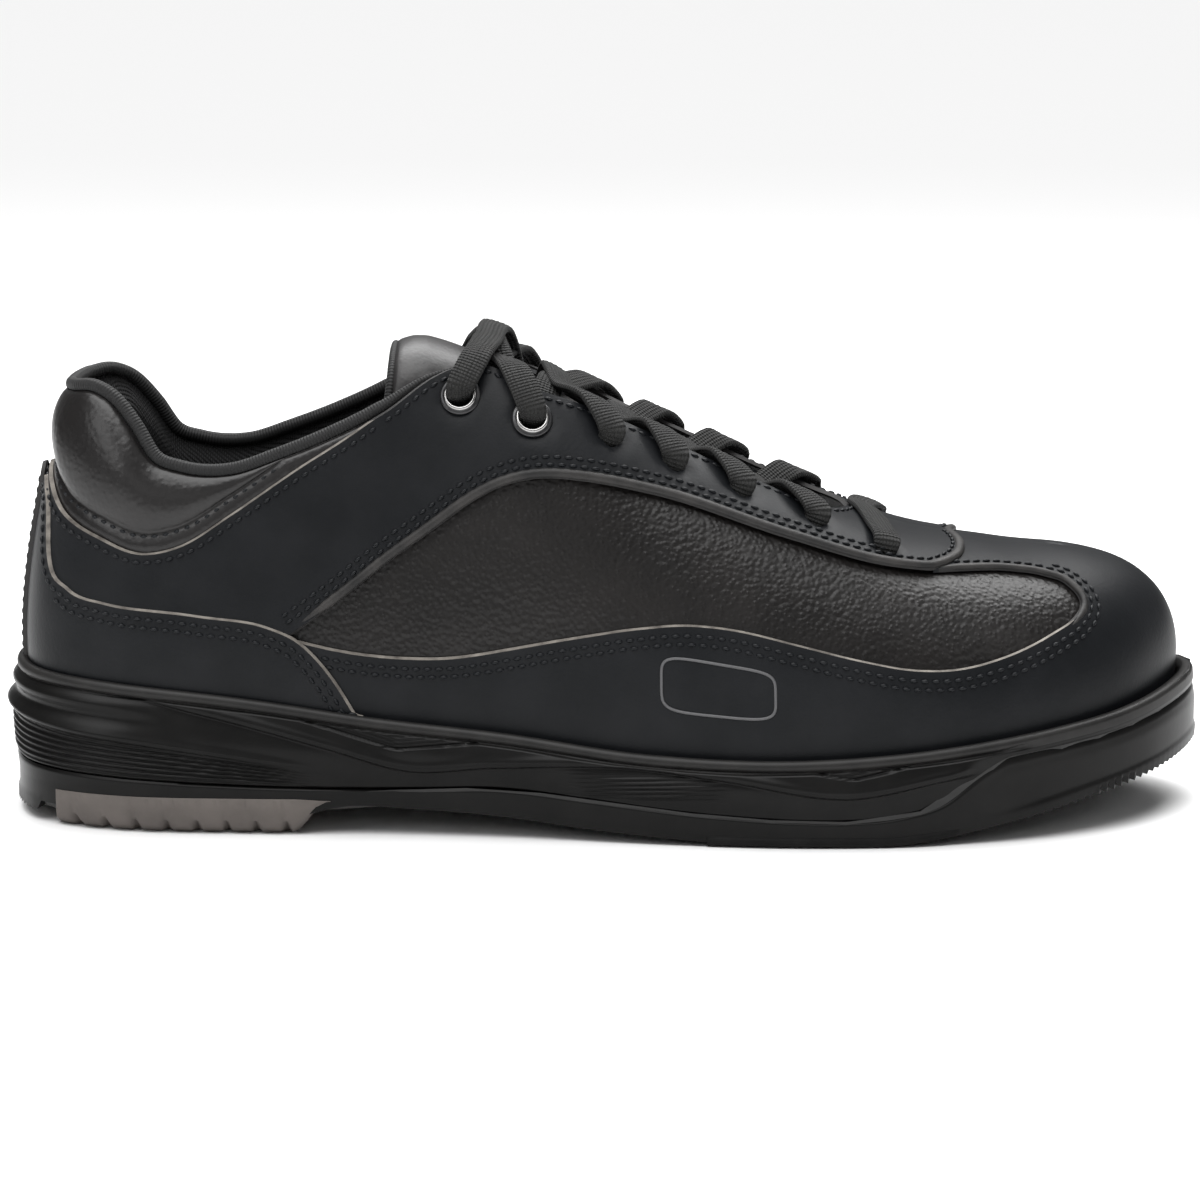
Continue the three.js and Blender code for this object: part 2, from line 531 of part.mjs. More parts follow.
// A strip of even section swept along points. Each row gives its middle, its width and its height.
function strip(rows, round = 4) {
  const corners = rows.map(({ at, across, up, width, height }) => steps(0, 1, round).slice(0, round).map((k) => {
    const angle = 2 * Math.PI * (k + 0.5 / round);
    const reach = round === 4 ? Math.SQRT1_2 : 0.5;
    return at.clone().addScaledVector(across, Math.cos(angle) * width * reach)
      .addScaledVector(up, Math.sin(angle) * height * reach);
  }));
  const points = corners.flat();
  const triangles = [];
  for (let i = 0; i < rows.length - 1; i += 1) {
    for (let j = 0; j < round; j += 1) {
      const [a, b] = [i * round + j, i * round + ((j + 1) % round)];
      triangles.push([a, b, b + round], [a, b + round, a + round]);
    }
  }
  const end = (rows.length - 1) * round;
  for (let j = 1; j < round - 1; j += 1) {
    triangles.push([0, j + 1, j], [end, end + j, end + j + 1]);
  }
  return solidFrom(points, triangles);
}
// Sections square to a path, each turned so that it lies flat on the given side direction.
function sweep(points, sideAt, sizeAt, round) {
  return strip(points.map((at, i) => {
    const before = points[Math.max(i - 1, 0)];
    const after = points[Math.min(i + 1, points.length - 1)];
    const tangent = after.clone().sub(before).normalize();
    const side = sideAt(i).clone();
    const across = side.addScaledVector(tangent, -side.dot(tangent)).normalize();
    const up = tangent.clone().cross(across);
    return { at, across, up, ...sizeAt(i) };
  }), round);
}

const bindingPlaces = collarRing;
const bindingEdge = bindingPlaces.map((s) => wallPoint(s, topline(s), (BASE[1] + INNER[0]) / 2));
const bindingNormal = (i) => lastNormal(bindingPlaces[i], Math.min(topline(bindingPlaces[i]), 0.9));
const bindingPath = bindingEdge.map((edge, i) => {
  const before = bindingEdge[Math.max(i - 1, 0)];
  const after = bindingEdge[Math.min(i + 1, bindingEdge.length - 1)];
  const off = bindingNormal(i).cross(after.clone().sub(before)).normalize();
  return edge.clone().addScaledVector(off, Math.sign(off.z) * (BINDING_RADIUS + 2 * SEAM_GAP));
});
const bindingSize = () => ({ width: 2 * BINDING_RADIUS + 1, height: 2 * BINDING_RADIUS });
add("collar_binding", sweep(bindingPath, bindingNormal, bindingSize, 6), FINISHES.binding);

// ---- Eyelets ----
const FLANGE_SEAT = OVERLAY[1] + 0.5; // clear of the curve of the leather
const FLANGE_HEIGHT = 0.9;
const CLINCH = 0.5;
const clinchTop = INNER[0] - 1.2;
const eyeletProfile = [
  [EYELET_BORE, clinchTop - CLINCH], [EYELET_FLANGE - 1, clinchTop - CLINCH],
  [EYELET_FLANGE - 1, clinchTop], [barrelRadius, clinchTop], [barrelRadius, FLANGE_SEAT],
  [EYELET_FLANGE, FLANGE_SEAT], [EYELET_FLANGE - 0.4, FLANGE_SEAT + FLANGE_HEIGHT],
  [EYELET_BORE, FLANGE_SEAT + FLANGE_HEIGHT], [EYELET_BORE, clinchTop - CLINCH],
].map((p) => new THREE.Vector2(...p));
for (const [side, sign] of Object.entries(SIDES)) {
  ["lower", "upper"].forEach((rank, k) => {
    const ring = new THREE.LatheGeometry(eyeletProfile, HOLE_SIDES + 2);
    add(`eyelet_${rank}_${side}`, solidOf(placeOn(ring, holeFrame(sign, FIRST_EYELET + k))), FINISHES.nickel);
  });
}

// ---- Sole ----
// A point beside the feather line: out is square to the line, level with the ground.
function besideFeather(s, out, height) {
  const foot = lastPoint(s, 0);
  const round = lastPoint(s + NUDGE, 0).sub(lastPoint(s - NUDGE, 0));
  const outward = new THREE.Vector3(round.y, -round.x, 0).normalize();
  const point = foot.addScaledVector(outward, out);
  return point.setZ(height(point.x));
}

// A solid through a stack of rings of points. A whole ring starts at the heel, and a part of one
// is open where it crosses from one side of the sole to the other. Both ends are capped.
function stack(rings, whole = true) {
  const count = rings[0].length;
  const triangles = [];
  rings.slice(1).forEach((_, r) => {
    for (let i = 0; i < count; i += 1) {
      const j = (i + 1) % count;
      const [a, b] = [r * count + i, r * count + j];
      const rising = rings[r][i].distanceTo(rings[r + 1][j]) < rings[r][j].distanceTo(rings[r + 1][i]);
      if (rising) triangles.push([a, b, b + count], [a, b + count, a + count]);
      else triangles.push([a, b, a + count], [b, b + count, a + count]);
    }
  });
  const partner = (i) => (whole ? (count - i) % count : count - 1 - i);
  const cap = (from, flip) => {
    for (let i = 0; i < count / 2 - 0.5; i += 1) {
      const [a, b, c, d] = [i, i + 1, partner(i + 1), partner(i)];
      [[a, b, c], [a, c, d]].filter(([p, q, r]) => p !== q && q !== r && r !== p).forEach(([p, q, r]) => {
        triangles.push((flip ? [p, r, q] : [p, q, r]).map((k) => k + from));
      });
    }
  };
  cap(0, true);
  cap((rings.length - 1) * count, false);
  return solidFrom(rings.flat(), triangles);
}
const ringOf = (places, out, height, clamp = (p) => p) => places.map((s) => clamp(besideFeather(s, out, height)));
const around = SHELL_STATIONS;
const raised = (height, by) => (x) => height(x) + by;

const rimOut = OVERLAY[1] + SEAM_GAP;
const cupFloor = raised(featherHeight, -CUP_DEPTH - 3 * SEAM_GAP);
const cupWall = (height) => around.map((s) => {
  const point = wallPoint(s, 0, rimOut);
  return point.setZ(height(point.x));
});
const STEP_OUT = 1; // where the parting line's rise at the toe begins, out from the feather line
const bulgeHeight = (x) => 0.45 * parting(x) + 0.55 * featherHeight(x);
add("midsole", stack([
  ringOf(around, STEP_OUT, raised(seat, SEAM_GAP)),
  ringOf(around, SOLE_EDGE, raised(parting, SEAM_GAP)),
  ringOf(around, SOLE_BULGE, bulgeHeight),
  ringOf(around, rimOut + RIM_WIDTH, featherHeight),
  cupWall(featherHeight),
  cupWall(cupFloor),
]), FINISHES.midsole);

// The outsole, let in underneath for the two pads and their hook fields
const underside = (x) => along(UNDERSIDE, gradeX(x)) + spring(x);
const placeAt = (x) => {
  let [low, high] = [0, TOE];
  for (let i = 0; i < 30; i += 1) {
    const middle = (low + high) / 2;
    if (lastPoint(middle, 0).x < x * GRADE.x) low = middle;
    else high = middle;
  }
  return low;
};
const frontPlaces = (x) => {
  const start = placeAt(x);
  const kept = around.filter((s) => s > start + 0.05 && s < LAP - start - 0.05);
  return [start, ...kept, LAP - start];
};
const heelPlaces = (x) => {
  const end = placeAt(x);
  const kept = around.filter((s) => s > 0 && s < end - 0.05);
  return [end, ...kept.slice().reverse(), 0, ...kept.map((s) => -s), -end].map((s) => -s);
};
const notBehind = (x) => (p) => p.setX(Math.max(p.x, x * GRADE.x));
const block = (places, out, low, high, clamp) => stack([
  ringOf(places, out, low, clamp), ringOf(places, out, high, clamp),
], false);
const above = (by) => (x) => spring(x) + by;
const FIELD_STACK = 2 * FIELD + 3 * SEAM_GAP;
const FAR_BELOW = -20;
const FAR_OUT = 20;
const pads = [
  { name: "slide_sole_pad", stem: "sole", height: SOLE_PAD, finish: FINISHES.pad, clamp: (p) => p,
    places: frontPlaces(SOLE_PAD_START), room: frontPlaces(SOLE_PAD_START - 2 * SEAM_GAP),
    roomClamp: (p) => p, inner: frontPlaces(SOLE_PAD_START + FIELD_INSET),
    pocket: frontPlaces(SOLE_PAD_START + FIELD_INSET - SEAM_GAP) },
  { name: "heel_pad_rubber", stem: "heel", height: HEEL_PAD, finish: FINISHES.heelRubber,
    clamp: notBehind(HEEL_PAD_START), roomClamp: notBehind(HEEL_PAD_START - SEAM_GAP),
    places: heelPlaces(HEEL_PAD_END), room: heelPlaces(HEEL_PAD_END + 16),
    inner: heelPlaces(HEEL_PAD_END - FIELD_INSET), pocket: heelPlaces(HEEL_PAD_END - FIELD_INSET + SEAM_GAP),
    innerClamp: notBehind(HEEL_PAD_START + 3), pocketClamp: notBehind(HEEL_PAD_START + 3 - SEAM_GAP) },
];
const rooms = pads.map((pad) => joined(
  block(pad.room, FAR_OUT, above(FAR_BELOW), above(pad.height + SEAM_GAP), pad.roomClamp),
  block(pad.pocket, SOLE_EDGE - FIELD_INSET + SEAM_GAP, above(pad.height - 1),
    above(pad.height + SEAM_GAP + FIELD_STACK - SEAM_GAP), pad.pocketClamp),
));
const outsoleBody = stack([
  ringOf(around, SOLE_EDGE - 1.6, underside),
  ringOf(around, SOLE_EDGE, raised(underside, 2)),
  ringOf(around, SOLE_EDGE, parting),
  ringOf(around, STEP_OUT, seat),
]);
add("outsole", outsoleBody.subtract(joined(...rooms)), FINISHES.outsole);

for (const pad of pads) {
  const edge = block(pad.places, SOLE_EDGE - 0.4, above(0), above(pad.height), pad.clamp);
  add(pad.name, edge, pad.finish);
  const fieldOut = SOLE_EDGE - FIELD_INSET;
  const layerAt = (from) => block(pad.inner, fieldOut, above(from), above(from + FIELD), pad.innerClamp);
  add(`${pad.stem}_pad_loop_backing`, layerAt(pad.height + SEAM_GAP), FINISHES.loop);
  add(`${pad.stem}_hook_field`, layerAt(pad.height + FIELD + 2 * SEAM_GAP), FINISHES.hook);
}

// ---- Inside: insole board and footbed ----
const boardLow = -CUP_DEPTH - SEAM_GAP;
const foamStart = boardLow + INSOLE_BOARD + SEAM_GAP;
const clothStart = foamStart + FOOTBED_FOAM + SEAM_GAP;
const insideLining = INNER[0] - SEAM_GAP;
const flat = (out, from, thick) => stack([
  ringOf(around, out, raised(featherHeight, from)), ringOf(around, out, raised(featherHeight, from + thick)),
]);
add("insole_board", flat(insideLining - 0.2, boardLow, INSOLE_BOARD), FINISHES.board);
add("footbed_foam", flat(insideLining - FOOTBED_CLEARANCE, foamStart, FOOTBED_FOAM), FINISHES.foam);
add("footbed_cover", flat(insideLining - FOOTBED_CLEARANCE, clothStart, FOOTBED_CLOTH), FINISHES.textile);

// ---- Tongue ----
// It lies under both eyestays, bridges the gap between them, and stands up past the top eyelets.
const TONGUE_FRONT = 7.9;
const TONGUE_TIP = 4.1;
const TIP_START = 4.6; // from here its sides draw in towards the tip
const TIP_NARROWING = 0.28;
const FLAP_SHARE = 0.6; // of its half width, out to the edge of the eyestay
const tongueFlapEdge = (s) => Math.min(along(THROAT, s), 0.9);
function tongueFace(s, place) {
  const free = Math.max(0, (TIP_START - s) / (TIP_START - TONGUE_TIP));
  const across = place * (1 - TIP_NARROWING * free * free);
  const edge = tongueFlapEdge(s);
  const onFlap = (side, t) => wallPoint(side * s, t, -TONGUE_DEPTH);
  if (Math.abs(across) >= FLAP_SHARE) {
    const under = (Math.abs(across) - FLAP_SHARE) / (1 - FLAP_SHARE);
    return onFlap(-Math.sign(across), edge - under * share(s, TONGUE_FLAP));
  }
  const [from, to] = SIGNED.map((side) => onFlap(side, edge));
  const [up, down] = SIGNED.map((side) => onFlap(side, edge).sub(onFlap(side, edge - 0.02)).normalize());
  const reach = from.distanceTo(to) * 0.36;
  return new THREE.CubicBezierCurve3(
    from,
    from.clone().addScaledVector(up, reach),
    to.clone().addScaledVector(down, reach),
    to,
  ).getPoint((across / FLAP_SHARE + 1) / 2);
}
const tongueAlong = (s, across) => tongueFace(s + NUDGE, across).sub(tongueFace(s - NUDGE, across));
function tonguePoint(s, across, depth) {
  const side = tongueFace(s, Math.min(across + NUDGE, 1)).sub(tongueFace(s, Math.max(across - NUDGE, -1)));
  return tongueFace(s, across).addScaledVector(side.cross(tongueAlong(s, across)).normalize(), depth);
}
const tongueRows = [
  TONGUE_TIP, 4.2, 4.32, 4.45, 4.6, 4.8, 5.05, 5.35, 5.7, 6.05, 6.4, 6.75, 7.1, 7.5, TONGUE_FRONT,
];
const tongueColumns = [-1, -0.8, -0.6, -0.4, -0.2, 0, 0.2, 0.4, 0.6, 0.8, 1];
const tongueSlab = (top, thick, rows, width) => {
  const grid = (depth) => rows.map((s) => tongueColumns.map((k) => tonguePoint(s, k * width, depth)));
  return slab(grid(top + thick), grid(top));
};
const tongueFoamTop = LEATHER + SEAM_GAP;
const tongueLiningTop = tongueFoamTop + TONGUE_FOAM + SEAM_GAP;
const tongueThickness = tongueLiningTop + LINING;
add("tongue_outer", tongueSlab(0, LEATHER, tongueRows, 1), FINISHES.smoothLeather);
add("tongue_foam", tongueSlab(tongueFoamTop, TONGUE_FOAM, tongueRows.slice(1, -1), 0.9), FINISHES.foam);
add("tongue_lining", tongueSlab(tongueLiningTop, LINING, tongueRows, 1), FINISHES.textile);
const boundRows = tongueRows.slice(0, 10);
const tongueEdge = [
  ...boundRows.slice(1).reverse().map((s) => [s, -1]),
  ...steps(-1, 1, 6).map((k) => [TONGUE_TIP, k]),
  ...boundRows.slice(1).map((s) => [s, 1]),
];
const tongueEdgeNormal = (i) => tonguePoint(...tongueEdge[i], 0).sub(tonguePoint(...tongueEdge[i], 1)).normalize();
const tongueBindingPath = tongueEdge.map(([s, k]) => {
  const edge = tonguePoint(s, k, tongueThickness / 2);
  const [further, closer] = [s === TONGUE_TIP ? 0.08 : 0, Math.abs(k) === 1 ? 0.93 : 1];
  const inwards = tonguePoint(s + further, k * closer, tongueThickness / 2);
  return edge.clone().addScaledVector(edge.clone().sub(inwards).normalize(), TONGUE_BINDING / 2 + 3 * SEAM_GAP);
});
add("tongue_binding", sweep(tongueBindingPath, tongueEdgeNormal, () => ({
  width: tongueThickness + 1.2, height: TONGUE_BINDING,
}), 6), FINISHES.binding);

// ---- Lace ----
// A bar lies across the front pair of holes. From there each half goes in, crosses under the
// flaps, comes up through the next hole, crosses the tongue, and so on up to the ankle, where
// its end is tucked under the far flap.
const HALF_LACE = SEAM_GAP + LACE_THICKNESS / 2;
const laceOver = OVERLAY[1] + HALF_LACE + 0.5;
const laceUnder = INNER[0] - HALF_LACE - 0.2;
const eyeletOver = FLANGE_SEAT + FLANGE_HEIGHT + HALF_LACE;
const eyeletUnder = clinchTop - CLINCH - HALF_LACE;
const overAt = (index) => (index < FIRST_EYELET ? laceOver : eyeletOver);
const underAt = (index) => (index < FIRST_EYELET || index >= LACE_HOLES.length ? laceUnder : eyeletUnder);
const TUCK = [4.1, 0.62];
const stops = [...LACE_HOLES, TUCK];
const between = (a, b, k) => a + (b - a) * k;
// One step of the lace's way: where it is, how wide, and which way its width lies
const onWall = (sign, s, t, offset, wide = LACE_WIDTH) => {
  const lay = lastPoint(sign * s + NUDGE, Math.min(t, 0.97)).sub(lastPoint(sign * s - NUDGE, Math.min(t, 0.97)));
  return { at: wallPoint(sign * s, t, offset), wide, lay: lay.multiplyScalar(sign).normalize() };
};
const inHole = (sign, index) => {
  const { centre, normal } = holeFrame(sign, index);
  const [low, high] = [underAt(index), overAt(index)];
  return [low, between(low, high, 0.3), between(low, high, 0.7), high].map((offset) => ({
    ...onWall(sign, ...LACE_HOLES[index], 0, LACE_BUNCHED),
    at: centre.clone().addScaledVector(normal, offset),
  }));
};
const onTongue = (s, across, rise) => ({
  at: tonguePoint(s, across, -rise), wide: LACE_WIDTH, lay: tongueAlong(s, across).normalize(),
});
// One crossing of the tongue from a hole to the next one on the other side
function crossing(sign, index, high) {
  const [from, to] = [stops[index][0], stops[index + 1][0]];
  const inside = index === 0;
  const [near, far] = [between(from, to, 0.22), between(from, to, 0.8)];
  const lowest = TONGUE_DEPTH + laceUnder - (inside ? LACE_PASS : 0);
  const rise = lowest + (high ? LACE_PASS : 0) + (index === LACE_HOLES.length - 1 ? 0.8 : 0);
  const over = (k, across) => onTongue(between(from, to, k), -sign * across, rise);
  const leave = inside
    ? onWall(sign, near, 0.82, laceUnder - (high ? 0 : LACE_PASS * 0.6))
    : onWall(sign, near, tongueFlapEdge(near) + 0.005, overAt(index) + 0.7);
  const arrive = onWall(-sign, far, tongueFlapEdge(far) - 0.04, Math.min(laceUnder - 0.2, underAt(index + 1)));
  return [leave, over(0.4, 0.28), over(0.5, 0), over(0.6, -0.28), arrive];
}
function laceHalf(firstSign, high) {
  const path = inHole(firstSign, 0).reverse();
  let sign = firstSign;
  for (let index = 0; index < LACE_HOLES.length; index += 1) {
    if (index > 0) path.push(...inHole(sign, index));
    path.push(...crossing(sign, index, high === (index % 2 === 0)));
    sign = -sign;
  }
  path.push(onWall(sign, ...TUCK, laceUnder - 0.5));
  return { path, sign };
}
const barPlaces = [[1, 0.78], [1, 0.9], [1, 1], [-1, 0.9], [-1, 0.78]];
const bar = barPlaces.map(([sign, t]) => onWall(sign, stops[0][0], t, laceOver));
const halves = [laceHalf(SIDES.lateral, true), laceHalf(SIDES.medial, false)];
const laceSteps = [...halves[0].path.slice().reverse(), ...bar, ...halves[1].path];
const laceCurve = new THREE.CatmullRomCurve3(laceSteps.map((step) => step.at), false, "centripetal");
const LACE_FINENESS = 1.5;
const laceMarks = steps(0, laceSteps.length - 1, Math.round((laceSteps.length - 1) * LACE_FINENESS));
const lacePoints = laceMarks.map((k) => laceCurve.getPoint(k / (laceSteps.length - 1)));
const laceAt = (k) => {
  const i = Math.min(Math.floor(k), laceSteps.length - 2);
  const [a, b] = [laceSteps[i], laceSteps[i + 1]];
  return { wide: between(a.wide, b.wide, k - i), lay: a.lay.clone().lerp(b.lay, k - i) };
};
add("shoelace", sweep(lacePoints, (i) => laceAt(laceMarks[i]).lay, (i) => ({
  width: laceAt(laceMarks[i]).wide, height: LACE_THICKNESS,
}), 4), FINISHES.lace);
const forward = new THREE.Vector3(1, 0, 0);
const AGLET_RADIUS = 1.3;
halves.forEach(({ sign }, k) => {
  const side = sign === SIDES.lateral ? "lateral" : "medial";
  const drop = (distance) => wallPoint(sign * TUCK[0], TUCK[1] - share(TUCK[0], distance), laceUnder - 0.5);
  const path = steps(1.2, AGLET_LENGTH, 3).map(drop);
  add(`aglet_${side}`, sweep(path, () => forward, () => ({
    width: 2 * AGLET_RADIUS, height: 2 * AGLET_RADIUS,
  }), 8), FINISHES.aglet);
});

const bounds = new THREE.Box3().setFromObject(shoe);
shoe.position.set(-(bounds.min.x + bounds.max.x) / 2, -(bounds.min.y + bounds.max.y) / 2, 0);
export default shoe;
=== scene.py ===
import math

import bpy
import numpy as np
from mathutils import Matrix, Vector, geometry, noise


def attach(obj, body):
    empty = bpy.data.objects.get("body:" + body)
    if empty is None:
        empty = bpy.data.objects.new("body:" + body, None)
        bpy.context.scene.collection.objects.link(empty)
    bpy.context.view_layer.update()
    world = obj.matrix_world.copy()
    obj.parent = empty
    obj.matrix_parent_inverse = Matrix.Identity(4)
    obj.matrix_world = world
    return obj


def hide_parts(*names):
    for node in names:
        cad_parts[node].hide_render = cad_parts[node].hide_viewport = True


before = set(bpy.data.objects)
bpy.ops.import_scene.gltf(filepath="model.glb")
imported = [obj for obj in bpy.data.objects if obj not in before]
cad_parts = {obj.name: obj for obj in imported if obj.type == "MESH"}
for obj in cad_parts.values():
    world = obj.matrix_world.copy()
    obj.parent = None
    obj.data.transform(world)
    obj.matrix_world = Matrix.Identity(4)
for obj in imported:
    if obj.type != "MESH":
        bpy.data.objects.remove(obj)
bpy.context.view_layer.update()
bpy.ops.object.select_all(action="DESELECT")

# ---- Floor, light and camera ----
# A pale studio floor, a broad soft overhead light, two soft side lights, a front fill and a wide
# light above the inner side, whose highlights lie along the leather's upper faces.
# The camera stands a metre off the outer side of the shoe, a little above it.


def studio_material(name, color, roughness):
    material = bpy.data.materials.new(name)
    material.use_nodes = True
    shader = material.node_tree.nodes["Principled BSDF"]
    shader.inputs["Base Color"].default_value = (*color, 1)
    shader.inputs["Roughness"].default_value = roughness
    return material


bpy.ops.mesh.primitive_plane_add(size=40, location=(0, 0, -0.0003))
floor = bpy.context.object
floor.name = "studio_floor"
floor.data.materials.append(studio_material("pale_floor", (0.9, 0.9, 0.9), 0.75))

world = bpy.data.worlds.new("studio")
bpy.context.scene.world = world
world.use_nodes = True
world.node_tree.nodes["Background"].inputs["Color"].default_value = (1, 1, 1, 1)
world.node_tree.nodes["Background"].inputs["Strength"].default_value = 0.12


def soft_light(name, place, aim, size, power):
    bpy.ops.object.light_add(type="AREA", location=place)
    light = bpy.context.object
    light.name = name
    light.data.shape = "RECTANGLE"
    light.data.size, light.data.size_y = size
    light.data.energy = power
    light.rotation_euler = (Vector(aim) - Vector(place)).to_track_quat("-Z", "Y").to_euler()


bpy.ops.object.light_add(type="SUN", location=(0, 0, 2), rotation=(math.radians(14), math.radians(-8), 0))
overhead = bpy.context.object
overhead.name = "light_overhead"
overhead.data.energy = 3.2
overhead.data.angle = math.radians(55)
soft_light("light_heel", (-0.8, -0.75, 0.7), (-0.06, 0, 0.06), (0.35, 0.6), 2.5)
soft_light("light_toe", (0.8, -0.6, 0.75), (0.06, 0, 0.04), (0.4, 0.4), 0.8)
soft_light("light_front", (-0.15, -1.5, 0.6), (0, 0, 0.05), (1.3, 0.4), 1.5)
soft_light("light_above", (0.1, 0.5, 0.95), (0.03, 0, 0.06), (1.3, 0.6), 18)

camera_data = bpy.data.cameras.new("camera")
camera = bpy.data.objects.new("camera", camera_data)
bpy.context.scene.collection.objects.link(camera)
camera.location = (-0.0008, -0.9978, 0.24)
aim = Vector((-0.0008, 0.0022, 0.062))
camera.rotation_euler = (aim - camera.location).to_track_quat("-Z", "Y").to_euler()
camera_data.sensor_width = 36
camera_data.lens = 118.8
camera_data.shift_x = -0.0033
camera_data.shift_y = -0.0323
camera_data.dof.use_dof = False
bpy.context.scene.camera = camera
bpy.context.scene.view_settings.view_transform = "Standard"

# ---- Last ----
# The form that the upper is stretched over. A place on it is a station round the shoe, from the
# heel (0) to the toe tip (11), and a share of the way up the wall from the sole's edge (0) to the
# crown (1). The outer side has stations above 0 and the inner side below. Lengths are in mm.

HEEL_TO_CENTRE = np.array((-152.75, 2.25, 0.0))
STATIONS = [
    # x, outer y, inner y at the sole's edge, x, y, half gap and z at the crown, rise, bulge, reach, drop
    (7, 1, 1, 16, 1, 0, 112, 0.34, 1.5, 0.1, 0.3),
    (13, -20, 21, 20, 0.5, 14.5, 113, 0.34, 1.5, 0.1, 0.3),
    (33, -31, 32, 37, 0.5, 23.5, 114, 0.34, 1.5, 0.1, 0.3),
    (64, -34, 33, 64, 0, 25, 115, 0.34, 1.5, 0.1, 0.3),
    (98, -35, 31, 98, 0, 21, 118, 0.38, 1.5, 0.3, 0.22),
    (132, -38.5, 31, 128, 0, 9, 118, 0.5, 1.5, 0.75, 0.06),
    (166, -44.5, 36, 158, 1, 0, 102, 0.62, 1, 0.62, 0),
    (200, -48, 42, 190, 1, 0, 85, 0.66, 1, 0.6, 0),
    (232, -46, 43.5, 222, 2, 0, 71.5, 0.7, 1, 0.58, 0),
    (263, -36.5, 39, 248, 4, 0, 66.2, 0.68, 1, 0.57, 0),
    (287, -18, 28, 263, 6, 0, 64.6, 0.66, 1.5, 0.6, 0),
    (298.5, 7, 7, 268, 7, 0, 63.6, 0.66, 2, 0.62, 0),
]
TOE = len(STATIONS) - 1
LAP = 2 * TOE
CROWN_CLOSED = 6
EDGE_HEIGHT = [
    (5, 39.2), (15, 38.6), (40, 36.6), (64, 34), (94, 29.6), (128, 26.2),
    (161, 22.4), (196, 21.4), (225, 23), (261, 27.2), (280, 30), (299, 34.8),
]
CUP_DEPTH = 6
NUDGE = 0.01
CROWN_END_REACH = 6
CLOSE = 1e-6


def station_loop():
    rows = []
    for k in range(LAP):
        x, outer, inner, *rest = STATIONS[k if k <= TOE else LAP - k]
        rows.append([x, inner if k > TOE else outer, *rest])
    return np.array(rows, float)


LOOP = station_loop()


def through(xs, values, x):
    # a smooth way through the values, whose slope at each is set by its neighbours
    gaps = np.diff(xs)[:, None]
    slopes = np.diff(values, axis=0) / gaps
    tangents = np.empty_like(values)
    tangents[0], tangents[-1] = slopes[0], slopes[-1]
    tangents[1:-1] = (gaps[1:] * slopes[:-1] + gaps[:-1] * slopes[1:]) / (gaps[1:] + gaps[:-1])
    i = np.clip(np.searchsorted(xs, x, side="right") - 1, 0, len(xs) - 2)
    w = (x - xs[i])[..., None] / gaps[i]
    bend = tangents[i] * w * (1 - w) ** 2 + tangents[i + 1] * w * w * (w - 1)
    return values[i] * (1 + 2 * w) * (1 - w) ** 2 + values[i + 1] * w * w * (3 - 2 * w) + gaps[i] * bend


def curve(points, x):
    p = np.asarray(points, float)
    return through(p[:, 0], p[:, 1:], np.clip(x, p[0, 0], p[-1, 0]))[..., 0]


def unit(v):
    return v / np.maximum(np.linalg.norm(v, axis=-1, keepdims=True), 1e-12)


def last(s, t):
    # the stations are joined smoothly round the shoe, and each wall is one curve from edge to crown
    s, t = np.broadcast_arrays(np.asarray(s, float), np.asarray(t, float))
    lapped = np.mod(s, LAP)
    i = np.floor(lapped).astype(int)
    w = (lapped - i)[..., None]
    a, b, c, d = (LOOP[(i + k) % LAP] for k in (-1, 0, 1, 2))
    mixed = 0.5 * (2 * b + (c - a) * w + (2 * a - 5 * b + 4 * c - d) * w**2 + (3 * b - a - 3 * c + d) * w**3)
    x, y, cx, cy, gap, cz, rise, bulge, reach, drop = np.moveaxis(mixed, -1, 0)
    cy = cy + np.maximum(gap, 0) * np.where(lapped > TOE, 1, -1)
    foot = np.stack([x, y, curve(EDGE_HEIGHT, x)], -1)
    crown = np.stack([cx, cy, cz], -1)
    outward = foot - crown
    outward[..., 2] = 0
    far = np.linalg.norm(outward, axis=-1)
    outward = unit(outward)
    height = crown[..., 2] - foot[..., 2]
    first = foot + outward * bulge[..., None]
    first[..., 2] += rise * height
    second = crown + outward * (reach * far)[..., None]
    second[..., 2] -= drop * height
    t = np.clip(t, 0, 1)[..., None]
    return foot * (1 - t) ** 3 + 3 * first * t * (1 - t) ** 2 + 3 * second * t * t * (1 - t) + crown * t**3


def steps_on_last(s, t):
    # the small steps round the shoe and up the wall at a place, each over twice NUDGE
    low = np.clip(t - NUDGE, 0, 1 - 2 * NUDGE)
    return last(s + NUDGE, t) - last(s - NUDGE, t), last(s, low + 2 * NUDGE) - last(s, low)


def last_normal(s, t):
    s, t = np.broadcast_arrays(np.asarray(s, float), np.clip(np.asarray(t, float), 0, 1))
    round_shoe, up_wall = steps_on_last(s, t)
    normal = unit(np.cross(round_shoe, up_wall))
    lapped = np.mod(s, LAP)
    crown = (t > 1 - CLOSE) & (lapped > CROWN_CLOSED - CLOSE) & (lapped < LAP - CROWN_CLOSED + CLOSE)
    along = last(TOE, 1) - last(TOE - 1, 1)
    forward = np.where((np.abs(lapped - TOE) < CLOSE)[..., None], along, round_shoe)
    ridge = unit(np.stack([-forward[..., 2], np.zeros(s.shape), forward[..., 0]], -1))
    ridge = ridge * np.sign(forward[..., :1])
    normal = np.where(crown[..., None], ridge, normal)
    # the stations meet in one point at the front of the crown, so the normal turns steadily to it
    from_end = np.linalg.norm(last(s, t) - last(TOE, 1), axis=-1, keepdims=True)
    share = np.clip(from_end / CROWN_END_REACH, 0, 1) ** 2
    return unit(normal * share + unit(np.array((-along[2], 0, along[0]))) * (1 - share))


